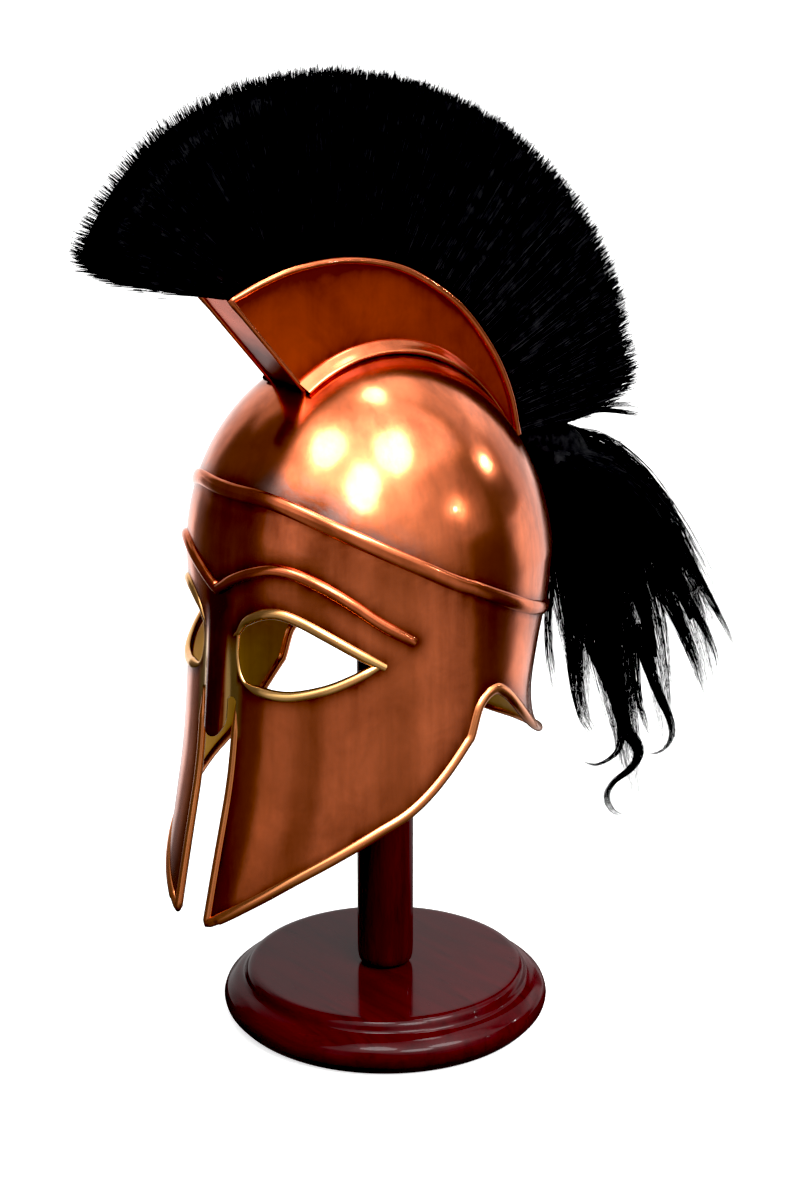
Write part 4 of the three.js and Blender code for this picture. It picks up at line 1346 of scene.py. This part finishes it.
def azimuth_of(n, way):
    """Azimuth in degrees of a direction, from -150 round to 210."""
    middle = 30.0
    ahead = n.dot(way, from_azimuth(middle, 0))
    across = n.dot(way, from_azimuth(middle + 90, 0))
    turn = n.times(n.math("ARCTAN2", across, ahead), 180 / math.pi)
    return n.plus(turn, middle)


def span(n, value, low, high, soft_low, soft_high):
    """1 between low and high, falling to 0 over each soft end."""
    rise = n.remap(value, low - soft_low / 2, low + soft_low / 2, way="SMOOTHSTEP")
    fall = n.remap(value, high - soft_high / 2, high + soft_high / 2, 1.0, 0.0, "SMOOTHSTEP")
    return n.times(rise, fall)


def place_camera(scene):
    data = bpy.data.cameras.new("camera")
    data.lens = CAMERA_LENS
    data.sensor_width = 36
    camera = bpy.data.objects.new("camera", data)
    a = math.radians(CAMERA_AZIMUTH)
    camera.location = (CAMERA_REACH * math.sin(a), -CAMERA_REACH * math.cos(a), CAMERA_HEIGHT)
    b, p = math.radians(CAMERA_AZIMUTH + CAMERA_PAN), math.radians(CAMERA_PITCH)
    forward = Vector((-math.sin(b) * math.cos(p), math.cos(b) * math.cos(p), -math.sin(p)))
    camera.rotation_euler = forward.to_track_quat("-Z", "Y").to_euler()
    scene.collection.objects.link(camera)
    scene.camera = camera


def lay_floor():
    """Pale floor; in reflections it shows the studio's dark and light sides."""
    corners = np.array([(-1, -1), (1, -1), (1, 1), (-1, 1)]) * FLOOR_HALF
    floor = mesh_object("floor", np.column_stack([corners, np.full(4, FLOOR_Z)]), np.array([(0, 1, 2, 3)]))
    made, n, surface, output = material("pale_floor")
    place = n.add("ShaderNodeTexCoord").outputs["Object"]
    tone = n.remap(n.noise(place, 3.0, 2.0), 0.3, 0.7, 0.88, 0.9)
    shade = n.add("ShaderNodeCombineColor", {0: tone, 1: tone, 2: tone}).outputs[0]
    n.join(shade, surface.inputs["Base Color"])
    glow = {"Emission Color": WHITE, "Emission Strength": 0.62}
    set_values(surface, {"Roughness": 0.9, "Specular IOR Level": 0.1, **glow})
    turn = azimuth_of(n, place)
    far = n.add("ShaderNodeVectorMath", {0: place}, operation="LENGTH").outputs["Value"]
    lit = FLOOR_GLOW
    for *panel, bright in FLOOR_PANELS:
        lit = n.plus(lit, n.times(span(n, turn, *panel), bright))
    lit = n.times(lit, n.remap(far, 0.2, 0.7, 0.15, 1.0))
    paper = n.add("ShaderNodeEmission", {"Color": WHITE, "Strength": lit})
    n.split_by_ray(paper, surface, output)
    floor.data.materials.append(made)


def light_world(scene):
    """White behind the helmet; in reflections, soft panels in a dark studio."""
    world = bpy.data.worlds.new("studio")
    scene.world = world
    world.use_nodes = True
    n = Nodes(world.node_tree)
    world.node_tree.nodes.clear()
    way = n.add("ShaderNodeTexCoord").outputs["Generated"]
    turn = azimuth_of(n, way)
    rise = n.math("ARCSINE", n.add("ShaderNodeSeparateXYZ", {0: way}).outputs["Z"])
    rise = n.times(rise, 180 / math.pi)
    glow = STUDIO_GLOW
    for left, right, soft_left, soft_right, *height, bright in STUDIO_PANELS:
        wide = span(n, turn, left, right, soft_left, soft_right)
        glow = n.plus(glow, n.times(n.times(wide, span(n, rise, *height)), bright))
    studio = n.add("ShaderNodeBackground", {"Color": WHITE, "Strength": glow})
    white = n.add("ShaderNodeBackground", {"Color": WHITE, "Strength": 1.0})
    n.split_by_ray(studio, white, n.add("ShaderNodeOutputWorld"))


def build_studio():
    scene = bpy.context.scene
    place_camera(scene)
    lay_floor()
    for lamp in STUDIO_LIGHTS:
        soft_lamp(*lamp)
    light_world(scene)
    scene.view_settings.view_transform = "Standard"
    scene.view_settings.use_curve_mapping = True
    grading = scene.view_settings.curve_mapping
    grading.black_level = (BLACK_POINT,) * 3
    grading.update()


# ------------------------------------------------------------------ operators and panel
class HELMET_OT_shell(bpy.types.Operator):
    """Raised bronze shell with its embossed ridges"""

    bl_idname = "helmet.shell"
    bl_label = "Helmet shell"

    def execute(self, context):
        build_shell()
        build_ridges(context.scene.helmet_metal)
        return {"FINISHED"}


class HELMET_OT_rims(bpy.types.Operator):
    """Golden rims of the eye openings and the lower edge"""

    bl_idname = "helmet.rims"
    bl_label = "Rims"

    def execute(self, context):
        build_rims(context.scene.helmet_metal)
        return {"FINISHED"}


class HELMET_OT_crest(bpy.types.Operator):
    """Sheet trough on the crown that holds the plume"""

    bl_idname = "helmet.crest"
    bl_label = "Crest holder"

    def execute(self, context):
        build_crest()
        return {"FINISHED"}


class HELMET_OT_hair(bpy.types.Operator):
    """Stiff brush and loose tail of black horsehair"""

    bl_idname = "helmet.hair"
    bl_label = "Plume"

    def execute(self, context):
        build_brush(context.scene.helmet_hair)
        build_tail(context.scene.helmet_hair)
        return {"FINISHED"}


class HELMET_OT_stand(bpy.types.Operator):
    """Turned and lacquered wooden stand"""

    bl_idname = "helmet.stand"
    bl_label = "Stand"

    def execute(self, context):
        build_stand()
        return {"FINISHED"}


class HELMET_OT_studio(bpy.types.Operator):
    """Camera, pale floor and soft lights"""

    bl_idname = "helmet.studio"
    bl_label = "Studio"

    def execute(self, context):
        build_studio()
        return {"FINISHED"}


STEPS = (
    HELMET_OT_studio,
    HELMET_OT_shell,
    HELMET_OT_rims,
    HELMET_OT_crest,
    HELMET_OT_hair,
    HELMET_OT_stand,
)


class HELMET_PT_panel(bpy.types.Panel):
    """Builds the helmet piece by piece"""

    bl_label = "Greek helmet"
    bl_idname = "HELMET_PT_panel"
    bl_space_type = "VIEW_3D"
    bl_region_type = "UI"
    bl_category = "Helmet"

    def draw(self, context):
        for group in (context.scene.helmet_metal, context.scene.helmet_hair, context.scene.helmet_stand):
            for key in group.__annotations__:
                self.layout.prop(group, key)
        for step in STEPS:
            self.layout.operator(step.bl_idname)


SETTINGS = {
    "helmet_metal": HelmetMetal,
    "helmet_hair": HelmetHair,
    "helmet_stand": HelmetStand,
}


def register():
    for key, group in SETTINGS.items():
        bpy.utils.register_class(group)
        setattr(bpy.types.Scene, key, PointerProperty(type=group))
    for step in STEPS:
        bpy.utils.register_class(step)
    bpy.utils.register_class(HELMET_PT_panel)


def unregister():
    bpy.utils.unregister_class(HELMET_PT_panel)
    for step in reversed(STEPS):
        bpy.utils.unregister_class(step)
    for key, group in reversed(SETTINGS.items()):
        delattr(bpy.types.Scene, key)
        bpy.utils.unregister_class(group)


def main():
    register()
    for step in STEPS:
        area, verb = step.bl_idname.split(".")
        getattr(getattr(bpy.ops, area), verb)()


if __name__ == "__main__":
    main()
